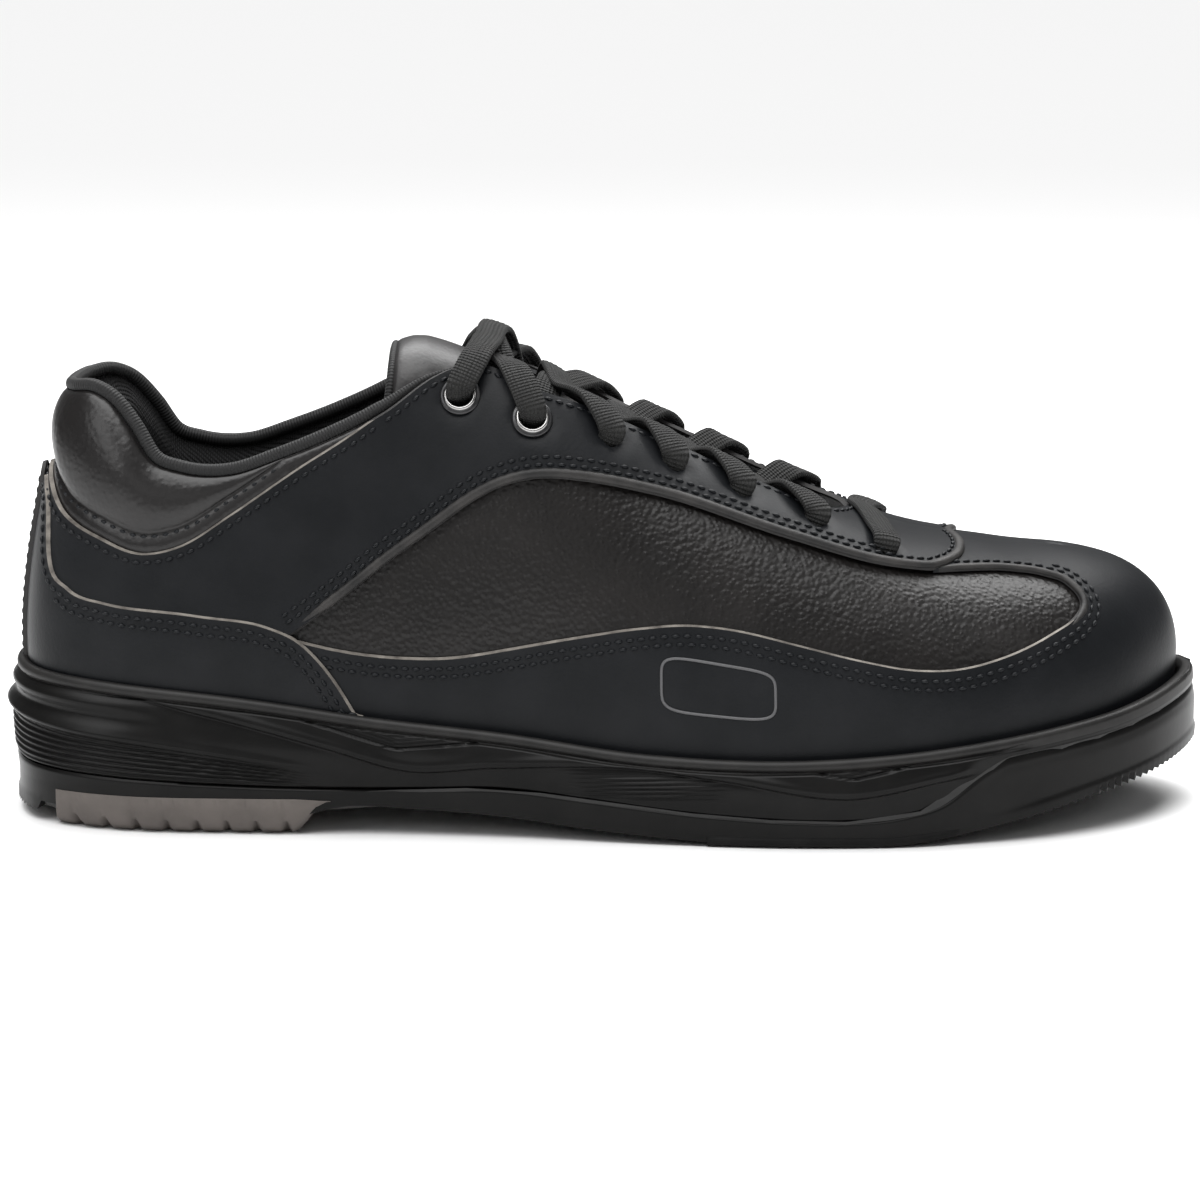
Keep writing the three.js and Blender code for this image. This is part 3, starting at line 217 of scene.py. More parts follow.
def on_last(s, t, height):
    s, t = np.broadcast_arrays(np.asarray(s, float), np.asarray(t, float))
    point = last(s, t) + last_normal(s, t) * np.asarray(height, float)[..., None]
    point[..., 2] += np.minimum(t, 0) * CUP_DEPTH
    return point


def run_along(points):
    return np.r_[0, np.cumsum(np.linalg.norm(np.diff(points, axis=0), axis=1))]


def wall_length(s, marks=11):
    way = last(np.asarray(s)[..., None], np.linspace(0, 1, marks))
    return np.linalg.norm(np.diff(way, axis=-2), axis=-1).sum(-1)


# ---- Panels ----
# Each leather panel is cut on the last from its own outline, lies at its own height, and has a
# pale raw edge that slopes down to the panel below it. Outer and inner halves join in one piece.

EDGE_WIDTH = 0.55
EDGE_DROP = 1.0
PANEL_GRAIN = 2.3
PANEL_THICK = 0.9
HOLE_DROP = 0.7
FILLING_ROOM = 0.62
SURFACE_WAVE, WAVE_SCALE = 0.15, 0.045
OUTLINE_STEP = 1.6
SPREAD = np.array((30.0, 85.0))
SEAM_MERGE = 0.00002


def resampled(path, step):
    run = run_along(path * SPREAD)
    marks = np.linspace(0, run[-1], max(2, int(run[-1] / step) + 1))
    return np.stack([np.interp(marks, run, path[:, 0]), np.interp(marks, run, path[:, 1])], 1)


def edge_line(height_at, start, end, count=160):
    s = np.linspace(start, end, count)
    return np.stack([s, height_at(s)], 1)


def shifted(path, distance):
    # the same path, moved over the last to its left by a distance in mm
    s, t = path[:, 0], path[:, 1]
    points = last(s, t)
    tangent = np.gradient(points, axis=0)
    left = unit(np.cross(last_normal(s, t), tangent)) * distance
    js, jt = (step / (2 * NUDGE) for step in steps_on_last(s, t))
    a, b, c = (js * js).sum(1), (js * jt).sum(1), (jt * jt).sum(1)
    p, q = (js * left).sum(1), (jt * left).sum(1)
    det = np.maximum(a * c - b * b, 1e-6)
    return path + np.stack([(c * p - b * q) / det, (a * q - b * p) / det], 1)


def inside(points, polygon):
    x, y = points[:, 0], points[:, 1]
    hit = np.zeros(len(points), bool)
    for (x0, y0), (x1, y1) in zip(polygon, np.roll(polygon, -1, axis=0)):
        crossing = (y0 > y) != (y1 > y)
        if y0 != y1:
            hit ^= crossing & (x < (x1 - x0) * (y - y0) / (y1 - y0) + x0)
    return hit


def ring_on_last(s, t, radius, sides=16):
    angles = np.linspace(0, 2 * math.pi, sides, endpoint=False)
    js = np.linalg.norm(last(s + NUDGE, t) - last(s - NUDGE, t)) / (2 * NUDGE)
    jt = np.linalg.norm(last(s, t + NUDGE) - last(s, t - NUDGE)) / (2 * NUDGE)
    return np.stack([s + radius * np.cos(angles) / js, t + radius * np.sin(angles) / jt], 1)


def new_piece(name, points, faces, materials, face_materials=None):
    mesh = bpy.data.meshes.new(name)
    placed = (np.asarray(points, float).reshape(-1, 3) + HEEL_TO_CENTRE) * 0.001
    mesh.from_pydata(placed.tolist(), [], [list(map(int, f)) for f in faces])
    for material in materials:
        mesh.materials.append(material)
    if face_materials is not None:
        mesh.polygons.foreach_set("material_index", np.asarray(face_materials, np.int32))
    mesh.polygons.foreach_set("use_smooth", np.ones(len(mesh.polygons), bool))
    mesh.update()
    piece = bpy.data.objects.new(name, mesh)
    bpy.context.scene.collection.objects.link(piece)
    return piece


def band_faces(rows, around, closed=False):
    # four-cornered faces from each ring of points to the next, and from the last to the first if closed
    return [(r * around + k, r * around + (k + 1) % around,
             (r + 1) % rows * around + (k + 1) % around, (r + 1) % rows * around + k)
            for r in range(rows if closed else rows - 1) for k in range(around)]


def declare(piece, body, slot, *nodes):
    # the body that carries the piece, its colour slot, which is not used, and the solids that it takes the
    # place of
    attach(piece, body)
    if nodes:
        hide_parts(*nodes)


def pick(piece):
    bpy.ops.object.select_all(action="DESELECT")
    piece.select_set(True)
    bpy.context.view_layer.objects.active = piece


def with_modifier(piece, kind, **settings):
    pick(piece)
    modifier = piece.modifiers.new(kind.lower(), kind)
    for key, value in settings.items():
        setattr(modifier, key, value)
    bpy.ops.object.modifier_apply(modifier=modifier.name)


def tidied(piece, merge=1e-7, angle=32):
    pick(piece)
    bpy.ops.object.mode_set(mode="EDIT")
    bpy.ops.mesh.select_all(action="SELECT")
    bpy.ops.mesh.remove_doubles(threshold=merge)
    bpy.ops.object.mode_set(mode="OBJECT")
    if angle:
        bpy.ops.object.shade_smooth_by_angle(angle=math.radians(angle))
    bpy.ops.object.select_all(action="DESELECT")


def panel(name, edges, height, materials, holes=(), sides=(1, -1)):
    # edges run round the panel with its leather on their left. Each is "cut" raw, "dyed" or "plain"
    lines = [(kind, resampled(line, OUTLINE_STEP)) for kind, line in edges]
    outline = np.concatenate([line[:-1] for _, line in lines])
    rings = [resampled(shifted(line, EDGE_WIDTH), OUTLINE_STEP) for kind, line in lines if kind != "plain"]
    points, links, cut, dyed = [*outline], [], set(), set()
    start = 0
    for kind, line in lines:
        if kind != "plain":
            cut.update((start + k) % len(outline) for k in range(len(line)))
        if kind == "dyed":
            dyed.update((start + k) % len(outline) for k in range(1, len(line)))
        start += len(line) - 1
    links += [(k, (k + 1) % len(outline)) for k in range(len(outline))]
    rim = set(cut)
    for ring in rings:
        first = len(points)
        points += [*ring]
        rim.update(range(first, len(points)))
        links += [(k, k + 1) for k in range(first, len(points) - 1)]
    punched = set()
    for hole in holes:
        first = len(points)
        points += [*hole]
        punched.update(range(first, len(points)))
        links += [(first + k, first + (k + 1) % len(hole)) for k in range(len(hole))]
    fixed = np.array(points) * SPREAD
    low, high = fixed.min(0), fixed.max(0)
    across, up = np.meshgrid(*(np.arange(low[k], high[k], PANEL_GRAIN) for k in (0, 1)))
    across = across + (np.arange(len(across)) % 2)[:, None] * PANEL_GRAIN / 2
    filling = np.stack([across.ravel(), up.ravel()], 1)
    filling = filling[inside(filling, outline * SPREAD)]
    nearest = np.full(len(filling), 1e9)
    for place in fixed:
        nearest = np.minimum(nearest, ((filling - place) ** 2).sum(1))
    filling = filling[nearest > (FILLING_ROOM * PANEL_GRAIN) ** 2]
    everything = np.concatenate([fixed, filling])
    made = geometry.delaunay_2d_cdt([Vector(p) for p in everything], links, [], 0, 1e-5, True)
    flat = np.array([tuple(v) for v in made[0]])
    faces = np.array(made[2])
    middles = flat[faces].mean(1)
    keep = inside(middles, outline * SPREAD)
    for hole in holes:
        keep &= ~inside(middles, hole * SPREAD)
    faces = faces[keep]
    is_cut, is_rim, is_hole, is_dyed = (
        np.array([not chosen.isdisjoint(ids) for ids in made[3]]) for chosen in (cut, rim, punched, dyed))
    lift = height - EDGE_DROP * is_cut - HOLE_DROP * is_hole
    all_points, all_faces, raw = [], [], []
    for side in sides:
        s, t = side * flat[:, 0] / SPREAD[0], flat[:, 1] / SPREAD[1]
        t = np.minimum(t, 1)
        surface = on_last(s, t, lift)
        wave = np.array([noise.noise(Vector(p) * WAVE_SCALE) for p in surface])
        surface = surface + last_normal(s, t) * (SURFACE_WAVE * wave * ~is_cut)[:, None]
        corners = surface[faces]
        facing = np.cross(corners[:, 1] - corners[:, 0], corners[:, 2] - corners[:, 0])
        normal = last_normal(s[faces[:, 0]], t[faces[:, 0]])
        turned = faces.copy()
        flip = (facing * normal).sum(1) < 0
        turned[flip] = turned[flip][:, ::-1]
        all_faces.append(turned + len(flat) * len(all_points))
        all_points.append(surface)
        on_edge = is_rim[faces].all(1) & is_cut[faces].any(1)
        raw.append(on_edge * np.where(is_dyed[faces].any(1), 2, 1))
    piece = new_piece(name, np.concatenate(all_points), np.concatenate(all_faces), materials,
                      np.concatenate(raw).astype(int) % len(materials))
    tidied(piece, SEAM_MERGE, angle=None)
    with_modifier(piece, "SOLIDIFY", thickness=PANEL_THICK * 0.001, offset=-1, use_rim=True)
    tidied(piece)
    return piece


# ---- Leathers and thread ----
# Smooth, pebbled and glossy leather, each near-black with its own grain, the fawn of a raw cut
# edge, and the waxed thread that lies in rows along the edges.


def finish(name, color, roughness, grains=(), tint=(), speckle=0.0, metallic=0.0, **sockets):
    # grains: (texture, scale, strength, depth in mm). tint: (second colour, scale, share)
    material = bpy.data.materials.new(name)
    material.use_nodes = True
    nodes, links = material.node_tree.nodes, material.node_tree.links
    shader = nodes["Principled BSDF"]
    shader.inputs["Base Color"].default_value = (*color, 1)
    shader.inputs["Roughness"].default_value = roughness
    shader.inputs["Metallic"].default_value = metallic
    for key, value in sockets.items():
        shader.inputs[key.replace("_", " ")].default_value = value
    place = nodes.new("ShaderNodeTexCoord")
    bump = None
    for kind, scale, strength, depth in grains:
        texture = nodes.new("ShaderNodeTexVoronoi" if kind == "pebble" else "ShaderNodeTexNoise")
        texture.inputs["Scale"].default_value = scale
        if kind == "pebble":
            texture.feature = "SMOOTH_F1"
        else:
            texture.inputs["Detail"].default_value = 3
        links.new(place.outputs["Object"], texture.inputs["Vector"])
        layer = nodes.new("ShaderNodeBump")
        layer.invert = kind == "pebble"
        layer.inputs["Strength"].default_value = strength
        layer.inputs["Distance"].default_value = depth * 0.001
        links.new(texture.outputs["Distance" if kind == "pebble" else "Fac"], layer.inputs["Height"])
        if bump:
            links.new(bump.outputs["Normal"], layer.inputs["Normal"])
        bump = layer
    if bump:
        links.new(bump.outputs["Normal"], shader.inputs["Normal"])
    if tint:
        second, scale, share = tint
        clouds = nodes.new("ShaderNodeTexNoise")
        clouds.inputs["Scale"].default_value = scale
        clouds.inputs["Detail"].default_value = 4
        links.new(place.outputs["Object"], clouds.inputs["Vector"])
        spread = nodes.new("ShaderNodeMapRange")
        spread.inputs["From Min"].default_value = 0.35
        spread.inputs["From Max"].default_value = 0.7
        spread.inputs["To Max"].default_value = share
        links.new(clouds.outputs["Fac"], spread.inputs["Value"])
        mix = nodes.new("ShaderNodeMix")
        mix.data_type = "RGBA"
        mix.inputs[6].default_value = (*color, 1)
        mix.inputs[7].default_value = (*second, 1)
        links.new(spread.outputs["Result"], mix.inputs["Factor"])
        links.new(mix.outputs[2], shader.inputs["Base Color"])
    return material


SMOOTH_LEATHER = finish(
    "smooth_leather", (0.0052, 0.0060, 0.0072), 0.46,
    grains=[("noise", 900, 0.35, 0.12), ("pebble", 1500, 0.2, 0.1)],
    tint=((0.0105, 0.0112, 0.0128), 60, 0.8), Specular_IOR_Level=0.17,
)
PEBBLED_LEATHER = finish(
    "pebbled_leather", (0.0052, 0.0044, 0.0041), 0.38,
    grains=[("pebble", 900, 0.75, 0.3), ("noise", 420, 0.35, 0.25)],
    tint=((0.0102, 0.0087, 0.0082), 70, 0.8), Specular_IOR_Level=0.3,
)
GLOSSY_LEATHER = finish(
    "glossy_leather", (0.0072, 0.0064, 0.0064), 0.33,
    grains=[("noise", 300, 0.25, 0.25), ("pebble", 800, 0.4, 0.2)],
    tint=((0.0125, 0.0112, 0.011), 80, 0.7), Specular_IOR_Level=0.42,
)
RAW_EDGE = finish(
    "raw_leather_edge", (0.24, 0.22, 0.195), 0.9,
    grains=[("noise", 1800, 0.5, 0.2)], tint=((0.07, 0.062, 0.055), 260, 0.95),
)
DARK_EDGE = finish("dyed_leather_edge", (0.014, 0.013, 0.0128), 0.7, grains=[("noise", 1500, 0.4, 0.2)])
THREAD = finish("waxed_thread", (0.0026, 0.0036, 0.0052), 0.5, grains=[("noise", 2500, 0.4, 0.1)],
                Specular_IOR_Level=0.28)
STITCH_LENGTH = 2.1
STITCH_GAP = 0.75
STITCH_WIDTH = 1.05
STITCH_RISE = 0.5
STITCH_LIFT = 0.12
STITCH_POINT = 0.15


def stitches(name, rows, slot="smooth_leather"):
    # rows: (line on the last, shift to its left, height), sewn on both sides
    rings, around = 5, 6
    ends = np.maximum(np.sin(np.linspace(0, math.pi, rings)) ** 0.6, STITCH_POINT)
    angles = np.linspace(0, 2 * math.pi, around, endpoint=False)
    points, faces = [], []
    for line, shift, height in rows:
        moved = shifted(resampled(line, 1.0), shift) if shift else resampled(line, 1.0)
        for side in (1, -1):
            s, t = side * moved[:, 0], np.clip(moved[:, 1], 0, 1)
            base, normals = on_last(s, t, height + STITCH_LIFT), last_normal(s, t)
            run = run_along(base)
            for middle in np.arange(STITCH_LENGTH, run[-1] - STITCH_LENGTH, STITCH_LENGTH + STITCH_GAP):
                at = [np.array([np.interp(middle + d, run, base[:, k]) for k in range(3)])
                      for d in (-0.3, 0, 0.3)]
                normal = unit(np.array([np.interp(middle, run, normals[:, k]) for k in range(3)]))
                ahead = unit(at[2] - at[0])
                beside = np.cross(normal, ahead)
                first = len(points)
                for k, fat in zip(np.linspace(-0.5, 0.5, rings), ends):
                    centre = at[1] + ahead * k * STITCH_LENGTH
                    points += [centre + beside * math.cos(a) * STITCH_WIDTH * fat / 2
                               + normal * (math.sin(a) * STITCH_RISE * fat) for a in angles]
                for r in range(rings - 1):
                    for k in range(around):
                        a, b = first + r * around + k, first + r * around + (k + 1) % around
                        faces.append((a, b, b + around, a + around))
                faces.append(tuple(range(first + around - 1, first - 1, -1)))
                faces.append(tuple(range(first + (rings - 1) * around, first + rings * around)))
    piece = new_piece(name, points, faces, [THREAD])
    declare(piece, "shoe", slot)


# ---- Side panels ----
# The pebbled panels show in the long window between the mudguard and the eyestay. Their own
# edges run on under the leathers sewn over them.

MUDGUARD_TOP = [
    (3.3, 0.185), (3.6, 0.165), (4.1, 0.148), (4.5, 0.144), (4.85, 0.155), (5.35, 0.185),
    (5.85, 0.222), (6.3, 0.25), (6.66, 0.258), (7.02, 0.25), (7.48, 0.23), (7.95, 0.213),
    (8.27, 0.218), (8.67, 0.258), (9.08, 0.33), (9.46, 0.42), (9.56, 0.46),
]
QUARTER_LOW = [
    (3.3, 0.19), (3.66, 0.29), (4.02, 0.38), (4.4, 0.44), (4.7, 0.48), (5.08, 0.51),
    (5.46, 0.522), (5.92, 0.537), (6.37, 0.55), (7.12, 0.565), (7.67, 0.573), (8.18, 0.605),
]
WINDOW_TOP = [(8.18, 0.605), (8.45, 0.638), (8.95, 0.665), (9.3, 0.63), (9.48, 0.56), (9.56, 0.46)]
TUCK_UNDER = 0.07
QUARTER_TIP, QUARTER_BACK = 8.18, 3.3
SIDES = ((1, "lateral"), (-1, "medial"))


def mudguard_top(s):
    return curve(MUDGUARD_TOP, s)


def quarter_low(s):
    return curve(QUARTER_LOW, s)


def window_top(s):
    return curve(WINDOW_TOP, s)


side_low = edge_line(lambda s: mudguard_top(s) - TUCK_UNDER, 3.2, 9.4)
side_high = edge_line(
    lambda s: np.where(s < QUARTER_TIP, quarter_low(s), window_top(s)) + TUCK_UNDER, 9.4, 3.2)
side_front = np.array([side_low[-1], (9.72, 0.42), (9.76, 0.52), side_high[0]])
for side, word in SIDES:
    edges = [("plain", side_low), ("plain", side_front), ("plain", side_high),
             ("plain", np.array([side_high[-1], side_low[0]]))]
    side_panel = panel(f"side_panel_leather_{word}", edges, 0.0, [PEBBLED_LEATHER], sides=(side,))
    declare(side_panel, "shoe", "grain_leather", f"side_panel_{word}")

# ---- Toe guard ----
# One piece of smooth leather covers the toe and runs back along both sides as the mudguard.
# Two rows of stitches follow its upper edge, and an outlined label is pressed into its outer side.

GUARD_HEIGHT = 1.5
GUARD_BACK = 3.15
WINDOW_TIP = 9.56
UNDER_SOLE = -0.3
TIP_REACH = 9
EDGE_TURNS = 8
guard_under_eyestay = np.array([(8.5, 1.0), (8.48, 0.9), (8.42, 0.8), (8.3, 0.7), (8.2, 0.607)])
window_edge = np.concatenate([
    edge_line(window_top, 8.2, WINDOW_TIP), edge_line(mudguard_top, WINDOW_TIP, GUARD_BACK)[1:],
])
window_edge = resampled(window_edge, 1.2)
window_tip = int(np.argmax(window_edge[:, 0]))
first, end = window_tip - TIP_REACH, window_tip + TIP_REACH + 1
for _ in range(30):
    summed = window_edge[first - 1:end - 1] + window_edge[first:end] + window_edge[first + 1:end + 1]
    window_edge[first:end] = summed / 3
guard_edges = [
    ("plain", np.array([(GUARD_BACK, UNDER_SOLE), (TOE, UNDER_SOLE)])),
    ("plain", np.array([(TOE, UNDER_SOLE), (TOE, 1)])),
    ("plain", np.array([(TOE, 1), (8.5, 1)])),
    ("plain", guard_under_eyestay),
    ("dyed", window_edge[:window_tip + EDGE_TURNS + 1]),
    ("cut", window_edge[window_tip + EDGE_TURNS:]),
    ("plain", np.array([window_edge[-1], (GUARD_BACK, UNDER_SOLE)])),
]
toe_guard = panel("toe_guard_leather", guard_edges, GUARD_HEIGHT, [SMOOTH_LEATHER, RAW_EDGE, DARK_EDGE])
declare(toe_guard, "shoe", "smooth_leather", "toe_guard")
stitches("toe_guard_stitches", [
    (window_edge, 2.8, GUARD_HEIGHT), (window_edge[window_tip - 14:], 4.8, GUARD_HEIGHT),
])

LABEL_CENTRE = (6.42, 0.075)
LABEL_HALF = (13.5, 5.0)
LABEL_LINE = 0.36


def closed_tube(name, middles, normals, radius, material, flatten=0.6, around=8):
    ahead = unit(np.roll(middles, -1, axis=0) - np.roll(middles, 1, axis=0))
    beside = np.cross(normals, ahead)
    angles = np.linspace(0, 2 * math.pi, around, endpoint=False)
    points = (middles[:, None] + beside[:, None] * np.cos(angles)[:, None] * radius
              + normals[:, None] * np.sin(angles)[:, None] * radius * flatten)
    return new_piece(name, points, band_faces(len(middles), around, closed=True), [material])


def superellipse(half, power, count):
    angles = np.linspace(0, 2 * math.pi, count, endpoint=False)
    c, s = np.cos(angles), np.sin(angles)
    return np.stack([half[0] * np.sign(c) * np.abs(c) ** (2 / power),
                     half[1] * np.sign(s) * np.abs(s) ** (2 / power)], 1)


LABEL_LEATHER = finish("label_line", (0.085, 0.085, 0.088), 0.45, grains=[("noise", 1500, 0.3, 0.1)])
label_outline = superellipse(LABEL_HALF, 5, 90)
label_s = LABEL_CENTRE[0] + label_outline[:, 0] / 33
label_t = LABEL_CENTRE[1] + 0.05 + label_outline[:, 1] / wall_length(LABEL_CENTRE[0])
label = closed_tube("label_outline", on_last(label_s, label_t, GUARD_HEIGHT + 0.1),
                    last_normal(label_s, label_t), LABEL_LINE, LABEL_LEATHER)
declare(label, "shoe", "smooth_leather")

# ---- Quarters ----
# The quarters wrap the heel, carry the collar's lower edge and run forward as the eyestay, which
# closes in a round end over the vamp. Five holes a side are punched and two hold metal eyelets.

QUARTER_HEIGHT = 2.2
FOXING_TOP = [
    (0, 0.6), (0.6, 0.59), (0.88, 0.5), (1.02, 0.37), (1.37, 0.275), (1.82, 0.245),
    (2.62, 0.235), (3.15, 0.215), (3.37, 0.18), (3.59, 0.1), (3.83, -0.03),
]
COLLAR_LOW = [
    (0, 0.66), (0.3, 0.645), (0.7, 0.6), (1.16, 0.51), (1.65, 0.45), (2.19, 0.41),
    (2.45, 0.44), (2.84, 0.54), (3, 0.58), (3.38, 0.672), (3.7, 0.738), (3.98, 0.8),
]
TOPLINE = [
    (0, 0.92), (0.94, 0.925), (1.4, 0.92), (1.61, 0.89), (1.9, 0.8), (2.14, 0.7), (2.42, 0.665),
    (2.84, 0.66), (3.24, 0.7), (3.59, 0.74), (3.95, 0.79), (4.36, 0.872), (4.55, 0.885), (4.75, 0.876),
]
THROAT = [
    (4.75, 0.876), (4.9, 0.84), (5.03, 0.795), (5.35, 0.765), (5.63, 0.765), (6.07, 0.765),
    (6.46, 0.775), (6.94, 0.79), (7.3, 0.8), (7.5, 0.84), (7.62, 0.91), (7.7, 0.985),
]
QUARTER_FRONT = [
    (8.7, 1.0), (8.695, 0.96), (8.68, 0.9), (8.65, 0.84), (8.6, 0.78), (8.52, 0.72),
    (8.4, 0.668), (8.28, 0.63), (8.18, 0.605),
]
COLLAR_MEETS = 3.9
THROAT_BACK = 4.75
LACE_HOLES = [
    (7.82, 0.66), (7.29, 0.695), (6.71, 0.69), (6.2, 0.67), (5.7, 0.67), (5.11, 0.67), (4.58, 0.77),
]
FIRST_EYELET = 5
PUNCHED_RADIUS = 2.2
EYELET_BORE = 3.0


def collar_low(s):
    return curve(COLLAR_LOW, np.abs(s))


def topline(s):
    return curve(TOPLINE, np.abs(s))


def foxing_top(s):
    return curve(FOXING_TOP, np.abs(s))


def throat(s):
    return curve(THROAT, s)


front_edge = np.array(QUARTER_FRONT)
collar_edge = edge_line(lambda s: np.minimum(collar_low(s), topline(s)), COLLAR_MEETS, 0)
throat_edge = np.concatenate([
    np.array([(7.74, 1.0)]), edge_line(throat, 7.7, THROAT_BACK),
    edge_line(topline, THROAT_BACK, COLLAR_MEETS)[1:],
])
low_edge = np.concatenate([front_edge, edge_line(quarter_low, QUARTER_TIP, QUARTER_BACK)[1:]])
hidden_low = edge_line(lambda s: foxing_top(s) - 0.06, QUARTER_BACK, 0)
# Counted from the heel seam: under the foxing, up the window's edge, round the front, back along
# the throat and the collar.
quarter_edges = [
    ("plain", hidden_low[::-1]),
    ("dyed", low_edge[::-1]),
    ("plain", np.array([(8.7, 1.0), (7.74, 1.0)])),
    ("dyed", throat_edge),
    ("cut", collar_edge),
    ("plain", np.array([collar_edge[-1], hidden_low[-1]])),
]
holes = [ring_on_last(s, t, EYELET_BORE + 0.6 if k >= FIRST_EYELET else PUNCHED_RADIUS)
         for k, (s, t) in enumerate(LACE_HOLES)]
quarters = panel("quarter_leather", quarter_edges, QUARTER_HEIGHT, [SMOOTH_LEATHER, RAW_EDGE, DARK_EDGE],
                 holes=holes)
declare(quarters, "shoe", "smooth_leather", "quarter_lateral", "quarter_medial")
window_side = low_edge[::-1]
stitches("quarter_stitches", [
    (window_side, 3.3, QUARTER_HEIGHT), (window_side[:150], 5.3, QUARTER_HEIGHT),
    (throat_edge, 2.2, QUARTER_HEIGHT), (collar_edge, 2.4, QUARTER_HEIGHT),
])

# ---- Heel foxing and back stay ----
# The foxing wraps the heel from the mudguard's end and rises at the back, with two rows of
# stitches under its raw edge. A narrow stay covers the seam where its two halves meet.

FOXING_HEIGHT = 3.1
STAY_HEIGHT = 4.1
STAY_HALF = 0.4
FOXING_FRONT = 3.83
foxing_edge = edge_line(foxing_top, FOXING_FRONT, 0)
foxing_edges = [
    ("plain", np.array([(0, UNDER_SOLE), (FOXING_FRONT, UNDER_SOLE)])),
    ("plain", np.array([(FOXING_FRONT, UNDER_SOLE), (FOXING_FRONT, -0.03)])),
    ("cut", foxing_edge),
    ("plain", np.array([(0, 0.6), (0, UNDER_SOLE)])),
]
foxing = panel("heel_foxing_leather", foxing_edges, FOXING_HEIGHT, [SMOOTH_LEATHER, RAW_EDGE])
declare(foxing, "shoe", "smooth_leather", "heel_foxing")
stitches("foxing_stitches", [(foxing_edge, 2.5, FOXING_HEIGHT), (foxing_edge[:110], 4.6, FOXING_HEIGHT)])
stay_edge = np.array([(STAY_HALF, UNDER_SOLE), (STAY_HALF, 0.55), (0.3, 0.625), (0.15, 0.645), (0, 0.65)])
stay_edges = [
    ("plain", np.array([(0, UNDER_SOLE), (STAY_HALF, UNDER_SOLE)])),
    ("cut", stay_edge),
    ("plain", np.array([(0, 0.65), (0, UNDER_SOLE)])),
]
stay = panel("back_stay_leather", stay_edges, STAY_HEIGHT, [SMOOTH_LEATHER, DARK_EDGE])
declare(stay, "shoe", "smooth_leather", "back_stay")
stitches("back_stay_stitches", [(stay_edge[:3], 1.8, STAY_HEIGHT - 0.3)])

# ---- Rolled edge ----
# Between the quarter's stitches and the pebbled panel the leather is folded over a cord, which makes a
# raised lip. Its lighter colour is painted highlight along the lip's top.

# A lighter copy of the smooth leather: painted highlight on the rolled lips.
LIP_HIGHLIGHT_LEATHER = finish(
    "lip_painted_highlight_leather", (0.014, 0.0137, 0.0137), 0.5, grains=[("noise", 1300, 0.5, 0.15)],
    tint=((0.046, 0.043, 0.041), 130, 0.75), Specular_IOR_Level=0.28,
)


def swept(name, middles, sides, section, materials, sizes=None):
    # section: points (across, up) in mm round the strand, sizes: a pair of factors for each step
    middles, count = np.asarray(middles, float), len(middles)
    ahead = unit(np.gradient(middles, axis=0))
    across = unit(sides - (sides * ahead).sum(1, keepdims=True) * ahead)
    up = np.cross(ahead, across)
    section = np.asarray(section, float)
    around = len(section)
    factor = np.ones((count, 2)) if sizes is None else np.asarray(sizes, float)
    points = (middles[:, None] + across[:, None] * (section[:, 0] * factor[:, :1])[..., None]
              + up[:, None] * (section[:, 1] * factor[:, 1:])[..., None])
    faces = band_faces(count, around)
    faces += [tuple(range(around - 1, -1, -1)), tuple(range((count - 1) * around, count * around))]
    piece = new_piece(name, points, faces, materials)
    run = run_along(middles)
    layer = piece.data.uv_layers.new(name="run")
    turn = section[:, 0]
    for polygon in piece.data.polygons:
        for loop, vertex in zip(polygon.loop_indices, polygon.vertices):
            layer.data[loop].uv = (turn[vertex % around] * 0.001, run[vertex // around] * 0.001)
    outwards(piece)
    return piece


def outwards(piece):
    pick(piece)
    bpy.ops.object.mode_set(mode="EDIT")
    bpy.ops.mesh.select_all(action="SELECT")
    bpy.ops.mesh.normals_make_consistent(inside=False)
    bpy.ops.object.mode_set(mode="OBJECT")
    bpy.ops.object.select_all(action="DESELECT")


def smoothed(line, times, settle=lambda v: v / 4):
    for _ in range(times):
        line[1:-1] = settle(line[:-2] + 2 * line[1:-1] + line[2:])
    return line


def tapered(count, steps, begun=0):
    # a pair of factors for each step of a strand that is thin at its ends
    from_end = np.minimum(np.arange(count) + begun, np.arange(count)[::-1])
    return np.clip(from_end / steps, 0.25, 1)[:, None] * np.ones(2)


def oval(half_wide, half_high, count=12):
    angles = np.linspace(0, 2 * math.pi, count, endpoint=False)
    return np.stack([half_wide * np.cos(angles), half_high * np.sin(angles)], 1)


LIP_WIDTH = 2.5
half_lip = resampled(shifted(resampled(low_edge[::-1], 1.2), LIP_WIDTH / 2 + 0.1), 1.0)
half_lip[-1, 1] = 1.0
lip_line = np.concatenate([half_lip, half_lip[::-1][1:] * (-1, 1)])
s, t = lip_line[:, 0], lip_line[:, 1]
lip_normals = smoothed(last_normal(s, t), 10, unit)
lip_middle = smoothed(on_last(s, t, QUARTER_HEIGHT - 0.35), 4)
lip = swept("rolled_lip", lip_middle, np.cross(lip_normals, np.gradient(lip_middle, axis=0)),
            oval(LIP_WIDTH / 2, 1.0), [LIP_HIGHLIGHT_LEATHER], tapered(len(s), 12))
declare(lip, "shoe", "smooth_leather")
